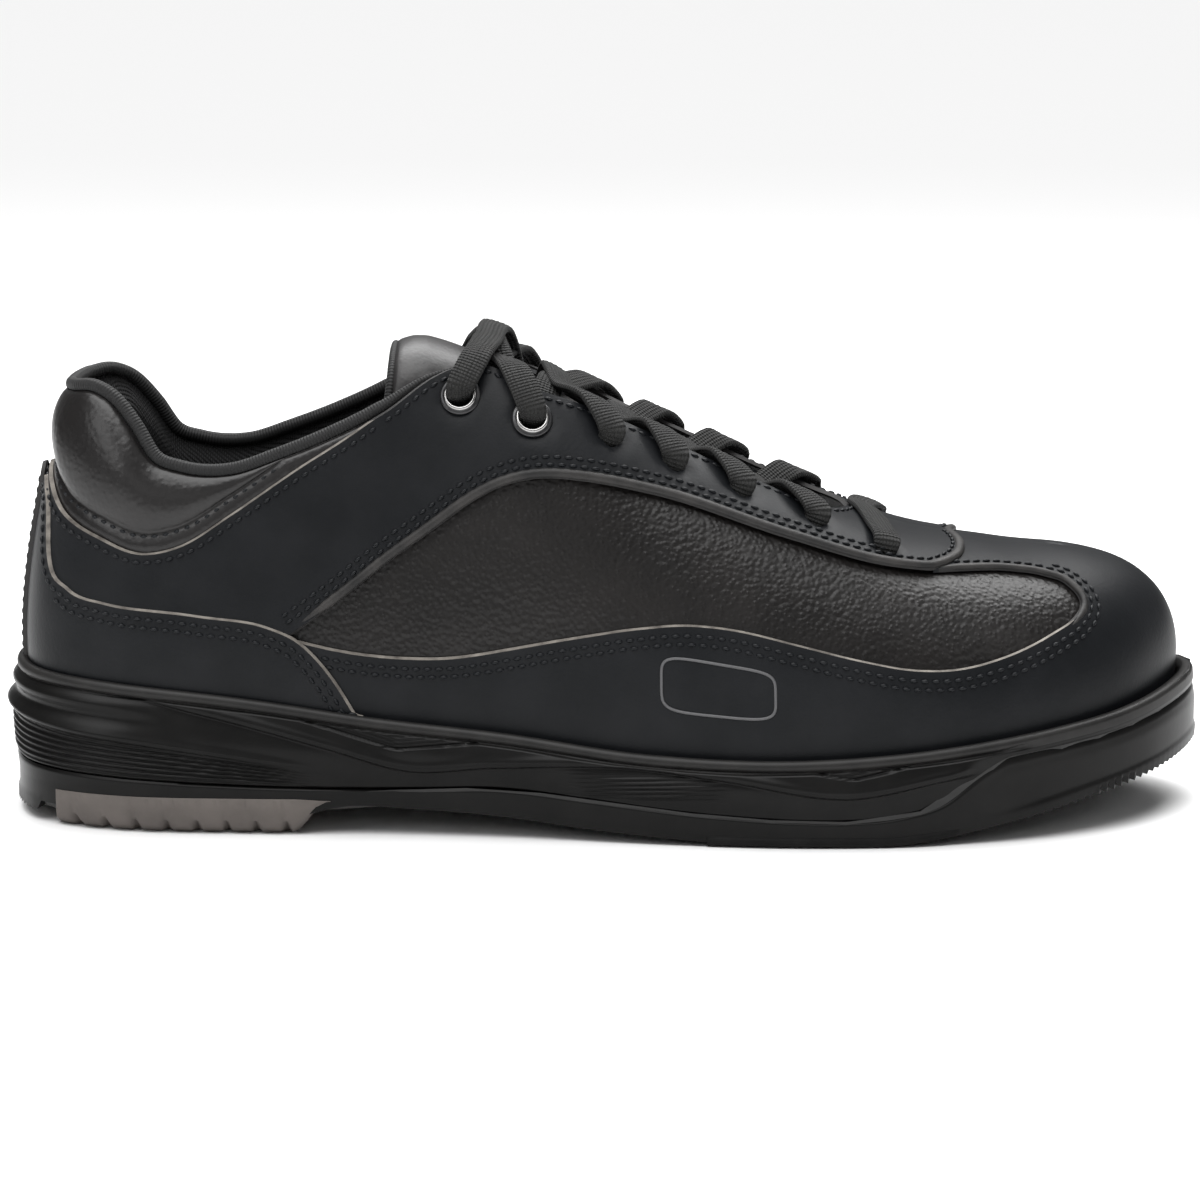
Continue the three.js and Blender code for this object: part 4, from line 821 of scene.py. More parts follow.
# The toe guard's lips take the same lighter leather, painted highlight along their tops.
GUARD_LIP_WIDTH = 2.0
for side, word in SIDES:
    line = resampled(shifted(window_edge[:window_tip + 16], GUARD_LIP_WIDTH / 2 + 0.1), 1.0)
    s, t = side * line[:, 0], line[:, 1]
    middle = smoothed(on_last(s, t, GUARD_HEIGHT - 0.4), 4)
    level = np.cross(last_normal(s, t), np.gradient(middle, axis=0))
    guard_lip = swept(f"toe_guard_lip_{word}", middle, level, oval(GUARD_LIP_WIDTH / 2, 0.85),
                      [LIP_HIGHLIGHT_LEATHER], tapered(len(s), 14, 6))
    declare(guard_lip, "shoe", "smooth_leather")

# ---- Collar ----
# A foam-filled pad of glossy leather outside and ribbed knit inside, in one closed roll round the
# heel. Its lower seam lies a few millimetres above the quarter's edge, and a woven cord binds its top.

COLLAR_END = 3.92
COLLAR_PUFF = 4.4
LINING_PUFF = 4.4
SEAM_ABOVE_EDGE = 4.6
LINING_DEPTH = -3.0
RIB_PITCH = 1.25
SEAM_TUCK, LINING_FOOT = 0.03, 0.03


def ribbed(name, color, roughness, pitch, depth, weave, **sockets):
    # pitch: of the ribs across the strand, weave: of the finer threads along it, in mm
    material = finish(name, color, roughness, tint=(tuple(2.2 * c for c in color), 350, 0.6), **sockets)
    nodes, links = material.node_tree.nodes, material.node_tree.links
    place = nodes.new("ShaderNodeUVMap")
    split = nodes.new("ShaderNodeSeparateXYZ")
    links.new(place.outputs["UV"], split.inputs["Vector"])
    bump = None
    for axis, step, amount in ((1, pitch, depth), (0, weave, depth * 0.5)):
        turn = nodes.new("ShaderNodeMath")
        turn.operation = "MULTIPLY"
        turn.inputs[1].default_value = 2 * math.pi / (step * 0.001)
        links.new(split.outputs["XY"[axis]], turn.inputs[0])
        wave = nodes.new("ShaderNodeMath")
        wave.operation = "SINE"
        links.new(turn.outputs["Value"], wave.inputs[0])
        layer = nodes.new("ShaderNodeBump")
        layer.inputs["Distance"].default_value = amount * 0.001
        layer.inputs["Strength"].default_value = 0.9
        links.new(wave.outputs["Value"], layer.inputs["Height"])
        if bump:
            links.new(bump.outputs["Normal"], layer.inputs["Normal"])
        bump = layer
    links.new(bump.outputs["Normal"], nodes["Principled BSDF"].inputs["Normal"])
    return material


RIBBED_KNIT = ribbed("ribbed_knit", (0.0045, 0.0045, 0.005), 0.9, RIB_PITCH, 0.3, weave=0.6)
columns = np.linspace(-COLLAR_END, COLLAR_END, 231)
wall_high = wall_length(columns, 21)
collar_bottom = np.minimum(collar_low(columns), topline(columns))
collar_top = topline(columns)
seam = np.minimum(collar_bottom + SEAM_ABOVE_EDGE / wall_high, collar_top - 0.002)
band = (collar_top - seam) * wall_high
plump = np.clip(band / 24, 0, 1) ** 0.8
collar_rows = [(collar_bottom - SEAM_TUCK, 1.0), (seam - 0.9 / wall_high, 1.15), (seam, 0.45)]
for k in np.linspace(0, 1, 22)[1:]:
    crown = math.sin(math.pi * k ** 0.85) ** 0.7 if k < 1 else 0
    folds = np.array([noise.noise(Vector((s * 2.2, k * 1.3, 3.0))) for s in columns])
    collar_rows.append((seam + (collar_top - seam) * k,
                        0.4 + (COLLAR_PUFF + 0.45 * folds) * crown * plump * (0.75 + 0.25 * k)))
outside_rows = len(collar_rows)
for k in np.linspace(0, 1, 30):
    t = collar_top + (LINING_FOOT - collar_top) * k
    depth = np.clip(k / 0.62, 0, 1)
    crown = math.sin(math.pi * depth ** 0.8) ** 0.8 if 0 < depth < 1 else 0
    sink = LINING_DEPTH * np.clip(k * 12, 0.35, 1)
    collar_rows.append((t, sink - LINING_PUFF * crown * plump))
for k in np.linspace(0.1, 1, 8):
    collar_rows.append((LINING_FOOT + (collar_bottom - LINING_FOOT - SEAM_TUCK) * k,
                        -1.7 + 1.2 * max(0, k - 0.8) * 5))
collar_grid = np.stack([on_last(columns, t, height) for t, height in collar_rows])


def closed_roll(name, grid, materials, row_materials):
    rows, count = grid.shape[:2]
    faces, chosen = [], []
    for r in range(rows):
        below = (r + 1) % rows
        for c in range(count - 1):
            faces.append((r * count + c, r * count + c + 1, below * count + c + 1, below * count + c))
            chosen.append(row_materials[r])
    for c in (0, count - 1):
        faces.append(tuple(r * count + c for r in range(rows)))
        chosen.append(row_materials[0])
    piece = new_piece(name, grid, faces, materials, chosen)
    steps = np.linalg.norm(np.diff(grid, axis=0), axis=2)
    drop = np.concatenate([np.zeros((1, count)), np.cumsum(steps, 0)])
    run = run_along(grid[rows // 2])
    layer = piece.data.uv_layers.new(name="run")
    for polygon in piece.data.polygons:
        for loop, vertex in zip(polygon.loop_indices, polygon.vertices):
            row, column = divmod(vertex, count)
            layer.data[loop].uv = (run[column] * 0.001, drop[row, column] * 0.001)
    outwards(piece)
    return piece


collar = closed_roll("collar_pad", collar_grid, [GLOSSY_LEATHER, RIBBED_KNIT],
                     [0] * (outside_rows - 1) + [1] * (len(collar_rows) - outside_rows + 1))
declare(collar, "shoe", "grain_leather", "collar_panel", "collar_foam", "collar_lining")
collar_seam = np.stack([columns[columns >= 0], (seam + 1.2 / wall_high)[columns >= 0]], 1)
stitches("collar_stitches", [(collar_seam[:95], -2.0, 0.75)], slot="grain_leather")

BINDING_RADIUS = 1.7
WOVEN_CORD = ribbed("woven_cord", (0.0044, 0.0044, 0.0046), 0.75, 0.8, 0.07, weave=0.9)
binding_s = np.linspace(-4.7, 4.7, 420)
binding_t = topline(binding_s)
binding_line = on_last(binding_s, binding_t, -0.9)
binding_normal = last_normal(binding_s, np.minimum(binding_t, 0.9))
lift = np.cross(binding_normal, unit(np.gradient(binding_line, axis=0)))
lift = lift * np.sign(lift[:, 2:]) * (BINDING_RADIUS - 0.2)
thin = np.clip((THROAT_BACK - np.abs(binding_s)) / 0.8, 0.35, 1)[:, None] * np.ones((1, 2))
binding = swept("collar_binding_cord", binding_line + lift * thin[:, :1], binding_normal,
                oval(BINDING_RADIUS, BINDING_RADIUS, 16), [WOVEN_CORD], thin)
declare(binding, "shoe", "binding", "collar_binding")

# ---- Tongue ----
# A padded tongue of smooth leather lined with knit, bound round its free end. It lies under both
# eyestays and arches over the gap between them.

TONGUE_DEPTH, TONGUE_FLAP, TONGUE_THICK = 6.9, 13, 6.2
TONGUE_TIP, TIP_START, TONGUE_FRONT = 4.1, 4.6, 7.9
FLAP_SHARE = 0.6
TIP_WINGS = 0.13
TIP_RAISED = 3.0
TONGUE_EDGE = 1.7
TONGUE_LOOSE, LOOSE_OVER = 4.8, 0.45
RIM_FRONT, RIM_STEPS = 6.3, 60


def flap_edge(s):
    return np.minimum(throat(s), 0.9)


def winged(s, place):
    # the tongue's sides reach further back than its tip
    return s - TIP_WINGS * place**2 * np.clip((TIP_START - s) / (TIP_START - TONGUE_TIP), 0, 1)


def loosened(s):
    # from 0 under the lace to 1 where the tongue stands free of the flaps
    return np.clip((TONGUE_LOOSE - s) / LOOSE_OVER, 0, 1)


def bezier(a, b, c, d, k):
    k = k[..., None]
    return a * (1 - k) ** 3 + 3 * b * k * (1 - k) ** 2 + 3 * c * k * k * (1 - k) + d * k**3


def tongue_face(s, place):
    s, across = np.broadcast_arrays(np.asarray(s, float), np.asarray(place, float))
    s = winged(s, across)
    edge = flap_edge(s)
    under = np.maximum(0, np.abs(across) - FLAP_SHARE) / (1 - FLAP_SHARE)
    depth = -TONGUE_DEPTH
    flank = on_last(-np.sign(across) * s, edge - under * TONGUE_FLAP / wall_length(s), depth)
    start, end = on_last(s, edge, depth), on_last(-s, edge, depth)
    rise, fall = (unit(p - on_last(k * s, edge - 0.02, depth)) for p, k in ((start, 1), (end, -1)))
    reach = np.linalg.norm(end - start, axis=-1, keepdims=True) * 0.36
    arch = bezier(start, start + rise * reach, end + fall * reach, end, (across / FLAP_SHARE + 1) / 2)
    return np.where((np.abs(across) >= FLAP_SHARE)[..., None], flank, arch)


def tongue_at(s, across, depth):
    s, across = np.broadcast_arrays(np.asarray(s, float), np.asarray(across, float))
    side = tongue_face(s, np.minimum(across + NUDGE, 1)) - tongue_face(s, np.maximum(across - NUDGE, -1))
    ahead = tongue_face(s + NUDGE, across) - tongue_face(s - NUDGE, across)
    return tongue_face(s, across) + unit(np.cross(side, ahead)) * np.asarray(depth, float)[..., None]


# A lighter copy of the smooth leather, whose lighter tone is painted highlight on the tongue's upward face.
TONGUE_HIGHLIGHT_LEATHER = finish(
    "tongue_leather_painted_highlight", (0.013, 0.0122, 0.0125), 0.42,
    grains=[("noise", 500, 0.4, 0.25), ("pebble", 1300, 0.25, 0.12)],
    tint=((0.024, 0.0222, 0.0225), 55, 0.7), Specular_IOR_Level=0.45,
)
tongue_rows = np.concatenate([
    np.linspace(TONGUE_TIP, TONGUE_LOOSE, 22), np.linspace(TONGUE_LOOSE, TONGUE_FRONT, 60)[1:],
])
tongue_columns = np.linspace(-1, 1, 61)
S, K = np.meshgrid(tongue_rows, tongue_columns, indexing="ij")
from_edge = np.minimum(1 - np.abs(K), (S - TONGUE_TIP) * 0.9)
swell = np.clip(from_edge / 0.13, 0, 1) ** 0.6
loose = loosened(S)
wave = np.array([[noise.noise(Vector((s * 2.1, k * 2.4, 8.0))) for k in tongue_columns]
                 for s in tongue_rows])
raised = TIP_RAISED * loose
top_depth = (TONGUE_THICK / 2 - TONGUE_EDGE) * (1 - swell) - (0.4 + 0.5 * wave * loose) * swell - raised
low_depth = TONGUE_THICK / 2 + TONGUE_EDGE + (TONGUE_THICK / 2 - TONGUE_EDGE - 0.3) * swell - raised
tongue_top, tongue_low = tongue_at(S, K, top_depth), tongue_at(S, K, low_depth)
tongue_ring = np.concatenate([tongue_top, tongue_low[:, ::-1]], 1)
half = len(tongue_columns)
around = 2 * half
faces = band_faces(len(tongue_rows), around)
chosen = ([0] * half + [1] * half) * (len(tongue_rows) - 1)
for first in (0, (len(tongue_rows) - 1) * around):
    for c in range(half - 1):
        faces.append((first + c, first + c + 1, first + around - 2 - c, first + around - 1 - c))
        chosen.append(0)
KNIT = finish("lining_knit", (0.0055, 0.0055, 0.006), 0.95, grains=[("pebble", 1400, 0.7, 0.3)])
tongue = new_piece("tongue_pad", tongue_ring, faces, [TONGUE_HIGHLIGHT_LEATHER, KNIT], chosen)
outwards(tongue)
declare(tongue, "tongue", "smooth_leather", "tongue_outer", "tongue_foam", "tongue_lining")
rim_back = np.linspace(RIM_FRONT, TONGUE_TIP, RIM_STEPS)
rim_tip = np.linspace(-1, 1, 31)[1:-1]
rim_s = np.concatenate([rim_back, np.full(len(rim_tip), TONGUE_TIP), rim_back[::-1]])
rim_k = np.concatenate([np.full(RIM_STEPS, -1.0), rim_tip, np.full(RIM_STEPS, 1.0)])
rim_depth = TONGUE_THICK / 2 - TIP_RAISED * loosened(rim_s)
rim_line = tongue_at(rim_s, rim_k, rim_depth)
inner_line = tongue_at(np.where(rim_s < TONGUE_TIP + 0.01, rim_s + 0.08, rim_s), rim_k * 0.93, rim_depth)
rim_line = smoothed(rim_line + unit(rim_line - inner_line) * 0.5, 3)
rim_up = tongue_at(rim_s, rim_k, 0) - tongue_at(rim_s, rim_k, 1)
tongue_edge = swept("tongue_edge_binding", rim_line, rim_up, oval(TONGUE_EDGE + 0.5, 1.2, 14), [WOVEN_CORD])
declare(tongue_edge, "tongue", "binding", "tongue_binding")

# ---- Eyelets ----
# The top two holes on each side are lined with pressed nickel eyelets, dark outside and bright at
# the lip, and clinched behind the lining.

DARK_NICKEL = finish("dark_nickel", (0.05, 0.05, 0.052), 0.35, metallic=0.9,
                     grains=[("noise", 900, 0.2, 0.05)], tint=((0.09, 0.09, 0.09), 400, 0.5))
BRIGHT_NICKEL = finish("bright_nickel", (0.40, 0.395, 0.39), 0.22, metallic=1.0,
                       grains=[("noise", 1200, 0.15, 0.04)], tint=((0.28, 0.275, 0.27), 500, 0.5))
EYELET_PROFILE = [
    (5.1, 0.2), (5.0, 0.6), (4.6, 0.8), (4.2, 0.75), (4.1, 1.05), (3.75, 1.4), (3.35, 1.3), (3.05, 0.9),
    (2.95, 0.1), (2.95, -6.9), (3.9, -7.1), (3.9, -6.7), (3.3, -6.5), (3.3, 0.1),
]
BRIGHT_RADIUS = 4.0
EYELET_SIDES = 44


def pressed_ring(name, profile, place, normal, materials, bright_inside):
    bpy.ops.object.select_all(action="DESELECT")
    bpy.ops.mesh.primitive_circle_add(vertices=EYELET_SIDES, radius=profile[0][0] * 0.001)
    ring = bpy.context.object
    ring.name = name
    bpy.ops.object.mode_set(mode="EDIT")
    bpy.ops.transform.translate(value=(0, 0, profile[0][1] * 0.001))
    for (r0, z0), (r1, z1) in zip(profile, profile[1:]):
        bpy.ops.mesh.extrude_edges_move(TRANSFORM_OT_translate={"value": (0, 0, (z1 - z0) * 0.001)})
        bpy.ops.transform.resize(value=(r1 / r0, r1 / r0, 1))
    bpy.ops.mesh.select_all(action="SELECT")
    bpy.ops.object.mode_set(mode="OBJECT")
    mesh = ring.data
    count = len(profile)
    end = EYELET_SIDES * (count - 1)
    wall = [(end + k, end + (k + 1) % EYELET_SIDES, (k + 1) % EYELET_SIDES, k) for k in range(EYELET_SIDES)]
    points = [tuple(v.co) for v in mesh.vertices]
    faces = [tuple(p.vertices) for p in mesh.polygons] + wall
    mesh.clear_geometry()
    mesh.from_pydata(points, [], faces)
    for material in materials:
        mesh.materials.append(material)
    for polygon in mesh.polygons:
        middle = polygon.center
        is_bright = math.hypot(middle.x, middle.y) * 1000 < bright_inside and middle.z > -0.003
        polygon.material_index = int(is_bright)
        polygon.use_smooth = True
    turn = Vector(normal).to_track_quat("Z", "Y").to_matrix().to_4x4()
    turn.translation = Vector((place + HEEL_TO_CENTRE) * 0.001)
    mesh.transform(turn)
    outwards(ring)
    return ring


for side, word in SIDES:
    for k, rank in ((FIRST_EYELET, "lower"), (FIRST_EYELET + 1, "upper")):
        s, t = side * LACE_HOLES[k][0], LACE_HOLES[k][1]
        ring = pressed_ring(f"eyelet_ring_{rank}_{word}", EYELET_PROFILE,
                            on_last(s, t, QUARTER_HEIGHT - 0.2), last_normal(s, t),
                            [DARK_NICKEL, BRIGHT_NICKEL], BRIGHT_RADIUS)
        declare(ring, "shoe", "nickel", f"eyelet_{rank}_{word}")

# ---- Lace ----
# One flat ribbed lace. A bar lies across the front holes, and each half comes up through the next
# hole, crosses the tongue and goes under the far flap, up to the ankle.

LACE_WIDE, LACE_THICK, LACE_PINCHED = 7.4, 2.3, 5.8
LACE_OVER, LACE_UNDER = 3.4, -4.1
EYELET_OVER, EYELET_UNDER = 4.1, -5.8
LACE_PASS = 1.7
LACE_STOPS = [*LACE_HOLES, (4.1, 0.62)]


def over_at(k):
    return LACE_OVER if k < FIRST_EYELET else EYELET_OVER


def under_at(k):
    return EYELET_UNDER if FIRST_EYELET <= k < len(LACE_HOLES) else LACE_UNDER


def on_flap(sign, s, t, height, wide=LACE_WIDE):
    t_in = min(t, 0.97)
    lay = last(sign * s + NUDGE, t_in) - last(sign * s - NUDGE, t_in)
    return on_last(sign * s, t, height), wide, unit(lay * sign)


def through_hole(sign, k):
    low, high = under_at(k), over_at(k)
    s, t = LACE_HOLES[k]
    steps = [on_flap(sign, s, t, low + (high - low) * share, LACE_PINCHED) for share in (0, 0.35, 0.7)]
    return steps + [on_flap(sign, s, t + 0.012, high + 0.35, 7.0)]


def lace_crossing(sign, k, high):
    (s0, _), (s1, _) = LACE_STOPS[k], LACE_STOPS[k + 1]
    inside_shoe = k == 0
    near, far = s0 + (s1 - s0) * 0.22, s0 + (s1 - s0) * 0.8
    rise = TONGUE_DEPTH + LACE_UNDER - (LACE_PASS if inside_shoe else 0) + (LACE_PASS if high else 0)
    ending = k == len(LACE_HOLES) - 1
    if ending:
        near, far, rise = s0 + 0.12, s0 + 0.36, rise + 2 * LACE_PASS + 0.6
    if inside_shoe:
        leave = on_flap(sign, near, 0.82, LACE_UNDER - (0 if high else LACE_PASS * 0.6))
    else:
        leave = on_flap(sign, near, float(flap_edge(near)) + 0.005, over_at(k) + 0.5)
    over = []
    for share, across in ((0.4, 0.28), (0.5, 0.0), (0.6, -0.28)):
        s = s0 + 0.1 + 0.3 * share if ending else s0 + (s1 - s0) * share
        lay = tongue_face(s + NUDGE, -sign * across) - tongue_face(s - NUDGE, -sign * across)
        over.append((tongue_at(s, -sign * across, -rise), LACE_WIDE, unit(lay)))
    arrive = on_flap(-sign, far, float(flap_edge(far)) - 0.04, min(LACE_UNDER - 0.2, under_at(k + 1)))
    if not ending:
        return [leave, *over, arrive]
    arrive = on_flap(-sign, far, float(flap_edge(far)) - 0.05, LACE_UNDER - 0.6)
    tucked = [on_flap(-sign, s, t, LACE_UNDER - 0.6) for s, t in ((4.7, 0.7), (4.4, 0.64))]
    return [leave, *over, arrive, *tucked]


def lace_half(sign, high):
    way = through_hole(sign, 0)[::-1]
    for k in range(len(LACE_HOLES)):
        if k:
            way += through_hole(sign, k)
        way += lace_crossing(sign, k, high == (k % 2 == 0))
        sign = -sign
    return way + [on_flap(sign, *LACE_STOPS[-1], LACE_UNDER - 0.5)]


front_bar = [on_flap(sign, LACE_HOLES[0][0], t, LACE_OVER) for sign, t in
             ((1, 0.78), (1, 0.9), (1, 1), (-1, 0.9), (-1, 0.78))]
lace_way = lace_half(1, True)[::-1] + front_bar + lace_half(-1, False)
knots = np.array([step[0] for step in lace_way])
chord = np.linalg.norm(np.diff(knots, axis=0), axis=1) ** 0.5
marks = np.r_[0, np.cumsum(chord)]
rough = np.linspace(0, marks[-1], 6000)
rough_run = run_along(through(marks, knots, rough))
lace_marks = np.interp(np.arange(0, rough_run[-1], 0.95), rough_run, rough)
lace_line = through(marks, knots, lace_marks)
widths = np.array([[step[1]] for step in lace_way], float)
lays = np.array([step[2] for step in lace_way])
lace_wide = np.array([np.interp(m, marks, widths[:, 0]) for m in lace_marks])
lace_lay = unit(np.stack([np.interp(lace_marks, marks, lays[:, k]) for k in range(3)], 1))
lace_lay = smoothed(lace_lay, 6, unit)
ribs = np.linspace(0, 2 * math.pi, 44, endpoint=False)
rib_height = 0.8 + 0.2 * np.abs(np.cos(ribs * 8))
lace_section = np.stack([LACE_WIDE / 2 * np.cos(ribs), LACE_THICK / 2 * np.sign(np.sin(ribs))
                         * np.abs(np.sin(ribs)) ** 0.55 * rib_height], 1)
narrowed = lace_wide / LACE_WIDE
LACE_WEAVE = ribbed("lace_weave", (0.0068, 0.0068, 0.0064), 0.8, 0.85, 0.24, weave=0.95)
lace = swept("lace", lace_line, lace_lay, lace_section, [LACE_WEAVE],
             np.stack([narrowed, 1 + 0.5 * (1 - narrowed)], 1))
declare(lace, "shoe", "lace", "shoelace")

# ---- Sole wall ----
# The midsole is one satin rubber moulding. Its wall has a rounded lip, a long sculpted crease,
# fine ribs low at the heel, and two shallow facets with chevron ribs. The outsole's wall is below.

SPRING = [(0, 0), (210, 0), (222, 0), (235, 1.4), (250, 4.4), (266, 8), (280, 10.8), (292, 13.6), (306, 18)]
UNDERSIDE = [
    (0, 3.4), (60, 3.4), (76, 4.6), (86, 7), (106, 6.7), (126, 5.5), (150, 3), (168, 1.6), (306, 1.4),
]
PARTING = [
    (0, 9.6), (70, 9.8), (100, 11.5), (125, 12.4), (150, 10.4), (180, 7.6), (226, 7.6), (234, 9),
    (246, 15.6), (261, 18.2), (272, 18), (300, 17.6),
]
PARTING_LINE = [
    (3, 15.2), (27, 13.9), (69, 12.1), (108, 11.8), (125, 12.4), (150, 10.4), (180, 7.6), (226, 7.6),
    (234, 9), (246, 15.6), (261, 18.2), (272, 18), (300, 17.6),
]
WALL_SHAPE = [(-1, 5.8), (0, 5.85), (0.3, 6.9), (0.55, 7.4), (0.8, 6.4), (1, 4.6)]
CREASE = [
    (5, 38), (26.8, 36.9), (47, 31.8), (65, 27.4), (84, 22.1), (103.4, 16.8), (125, 18.1),
    (161, 19.2), (183, 16.8), (213, 12.7), (234.6, 16.7), (245.7, 18.3), (300, 34),
]
RIB_TOP = [(0, 29), (18.2, 24.9), (39, 22.3), (79, 16.3), (90, 14.5), (300, 10)]
FACETS = [
    [(76.6, 29), (100.9, 21.8), (127.8, 24.3)],
    [(193.4, 20.3), (213.3, 17), (230.8, 21)],
]
WALL_FOOT = 5.85
TOE_BULGE, CREASE_DEPTH, CREASE_RIDGE = 0.7, 1.35, 0.45
HEEL_STEP, HEEL_RIDGE, HEEL_LEDGES = 0.8, 0.5, 0.8
FINE_RIBS, FINE_RIB_DEPTH = 7, 0.42
FACET_DEPTH, FACET_ROOF, CHEVRON_DEPTH, CHEVRON_PITCH = 1.2, 2.2, 0.16, 0.95
FAN_DEPTH, FAN_PITCH = 0.22, 1.15
COLUMNS_A_SIDE = 300
LIP_ROOM = 4.4


def spring(x):
    return np.maximum(0, curve(SPRING, x))


def blend(x, low, high):
    k = np.clip((x - low) / (high - low), 0, 1)
    return k * k * (3 - 2 * k)


def parting(x):
    return curve(PARTING, x) + spring(x)


def edge_height(x):
    return curve(EDGE_HEIGHT, x)


def parting_line(x):
    return np.minimum(curve(PARTING_LINE, x) + spring(x), edge_height(x) - LIP_ROOM)


fine_s = np.linspace(0, TOE, 4001)
fine_run = run_along(last(fine_s, 0))
half_s = np.interp(np.linspace(0, fine_run[-1], COLUMNS_A_SIDE + 1), fine_run, fine_s)
RING_S = np.concatenate([half_s, -half_s[1:-1][::-1]])


def beside(s, out, z):
    foot = last(s, 0)
    round_shoe = last(s + NUDGE, 0) - last(s - NUDGE, 0)
    outward = unit(np.stack([round_shoe[:, 1], -round_shoe[:, 0], np.zeros(len(s))], 1))
    point = foot + outward * np.asarray(out, float)[..., None]
    point[:, 2] = z
    return point


def wall_out(x, z):
    low, high = np.minimum(parting(x), parting_line(x)), edge_height(x)
    shape = curve(WALL_SHAPE, (z - low) / (high - low))
    out = WALL_FOOT + (shape - WALL_FOOT) * np.clip((high - low) / 13, 0, 1)
    out += TOE_BULGE * blend(x, 262, 292) * blend(high - z, 2, 9) * (1 - blend(high - z, 14, 24))
    below = curve(CREASE, x) - z
    start = blend(x, 20, 40) * (1 - blend(x, 236, 246))
    out -= CREASE_DEPTH * start * blend(below, 0, 0.8) * np.exp(-np.maximum(below, 0) / 9)
    out += CREASE_RIDGE * start * np.exp(-((below + 1.2) / 1.1) ** 2)
    top, bottom = curve(RIB_TOP, x), parting_line(x)
    up = (z - bottom) / np.maximum(top - bottom, 0.5)
    heel = 1 - blend(x, 66, 84)
    out -= HEEL_STEP * heel * blend(top - z, 0, 0.7) * np.exp(-np.maximum(top - z, 0) / 10)
    out += HEEL_RIDGE * heel * np.exp(-((z - top - 0.9) / 0.9) ** 2)
    within = blend(up, 0.02, 0.12) * (1 - blend(up, 0.85, 1.0))
    out += FINE_RIB_DEPTH * heel * within * np.sin(2 * math.pi * FINE_RIBS * up)
    ledge = (z - top) / np.maximum(high - 3.5 - top, 1)
    rear = 1 - blend(x, 22, 50)
    out += HEEL_LEDGES * rear * np.sin(math.pi * 3 * np.clip(ledge, 0, 1)) * (ledge > 0)
    for facet in FACETS:
        (x0, z0), (x1, z1), (x2, z2) = facet
        floor_z = np.interp(x, [x0, x1, x2], [z0, z1, z2])
        roof_z = np.interp(x, [x0, x2], [z0, z2])
        roof_z += FACET_ROOF * np.sin(math.pi * np.clip((x - x0) / (x2 - x0), 0, 1))
        share = (z - floor_z) / np.maximum(roof_z - floor_z, 0.2)
        inside_facet = (x > x0) & (x < x2) & (share > 0) & (share < 1)
        chevrons = CHEVRON_DEPTH * np.sin(2 * math.pi * (z - floor_z) / CHEVRON_PITCH)
        out -= inside_facet * (FACET_DEPTH * (1 - share) + chevrons)
    fan = np.sin(math.pi * np.clip((x - 142) / 42, 0, 1)) * blend(z, 10.5, 11.5) * (1 - blend(z, 16.5, 18))
    out += FAN_DEPTH * fan * np.sin(2 * math.pi * (z - 0.05 * x) / FAN_PITCH)
    return out


RUBBER = finish(
    "sole_rubber", (0.0036, 0.0035, 0.0034), 0.36,
    grains=[("noise", 700, 0.2, 0.1)], tint=((0.008, 0.0077, 0.0075), 90, 0.6), Specular_IOR_Level=0.15,
)
# The rim's lip is coloured lighter than the wall's rubber: painted highlight along the rim top.
RIM_HIGHLIGHT_RUBBER = finish(
    "rim_lip_painted_highlight_rubber", (0.010, 0.0096, 0.0094), 0.48,
    grains=[("noise", 900, 0.3, 0.12)], tint=((0.021, 0.02, 0.019), 120, 0.7), Specular_IOR_Level=0.26,
)


def ring_stack(name, rings, materials, row_materials, mates=None, capped=True):
    rings = np.asarray(rings)
    rows, count = rings.shape[:2]
    faces, chosen = band_faces(rows, count), list(np.repeat(row_materials[:rows - 1], count))
    mate = (lambda c: (count - c) % count) if mates is None else mates
    if capped:
        for first in (0, (rows - 1) * count):
            for c in range(count // 2):
                face = list(dict.fromkeys([first + c, first + c + 1, first + mate(c + 1), first + mate(c)]))
                if len(face) > 2:
                    faces.append(tuple(face))
                    chosen.append(row_materials[0 if first == 0 else -1])
    piece = new_piece(name, rings, faces, materials, chosen)
    outwards(piece)
    return piece


WALL_ROWS = 76
TOE_WALL = 6.0
LIP_CENTRE, LIP_RADIUS = 4.3, 1.5
TOE_LIP_CENTRE, TOE_LIP_OUT, TOE_LIP_DROP = 4.6, 1.45, 1.4
ring_x = last(RING_S, 0)[:, 0]
rim_z, seam_z = edge_height(ring_x), parting_line(ring_x)
floor_z = np.minimum(parting(ring_x), seam_z - 0.6)
at_toe = blend(ring_x, 246, 258)
rings = [beside(RING_S, 1.0, floor_z - 0.6),
         beside(RING_S, 3.6, floor_z - 0.2),
         beside(RING_S, 3.8, seam_z - 0.6),
         beside(RING_S, wall_out(ring_x, seam_z) - 0.7, seam_z - 0.1)]
materials_by_row = [0, 0, 0, 0]
for k in np.linspace(0, 1, WALL_ROWS):
    z = seam_z + 0.1 + (rim_z - 3.4 - seam_z - 0.1) * k
    edge = 0.35 * (1 - min(1, k * (WALL_ROWS - 1) / 2))
    rings.append(beside(RING_S, np.maximum(wall_out(ring_x, z) - edge, TOE_WALL * at_toe), z))
    materials_by_row.append(0)
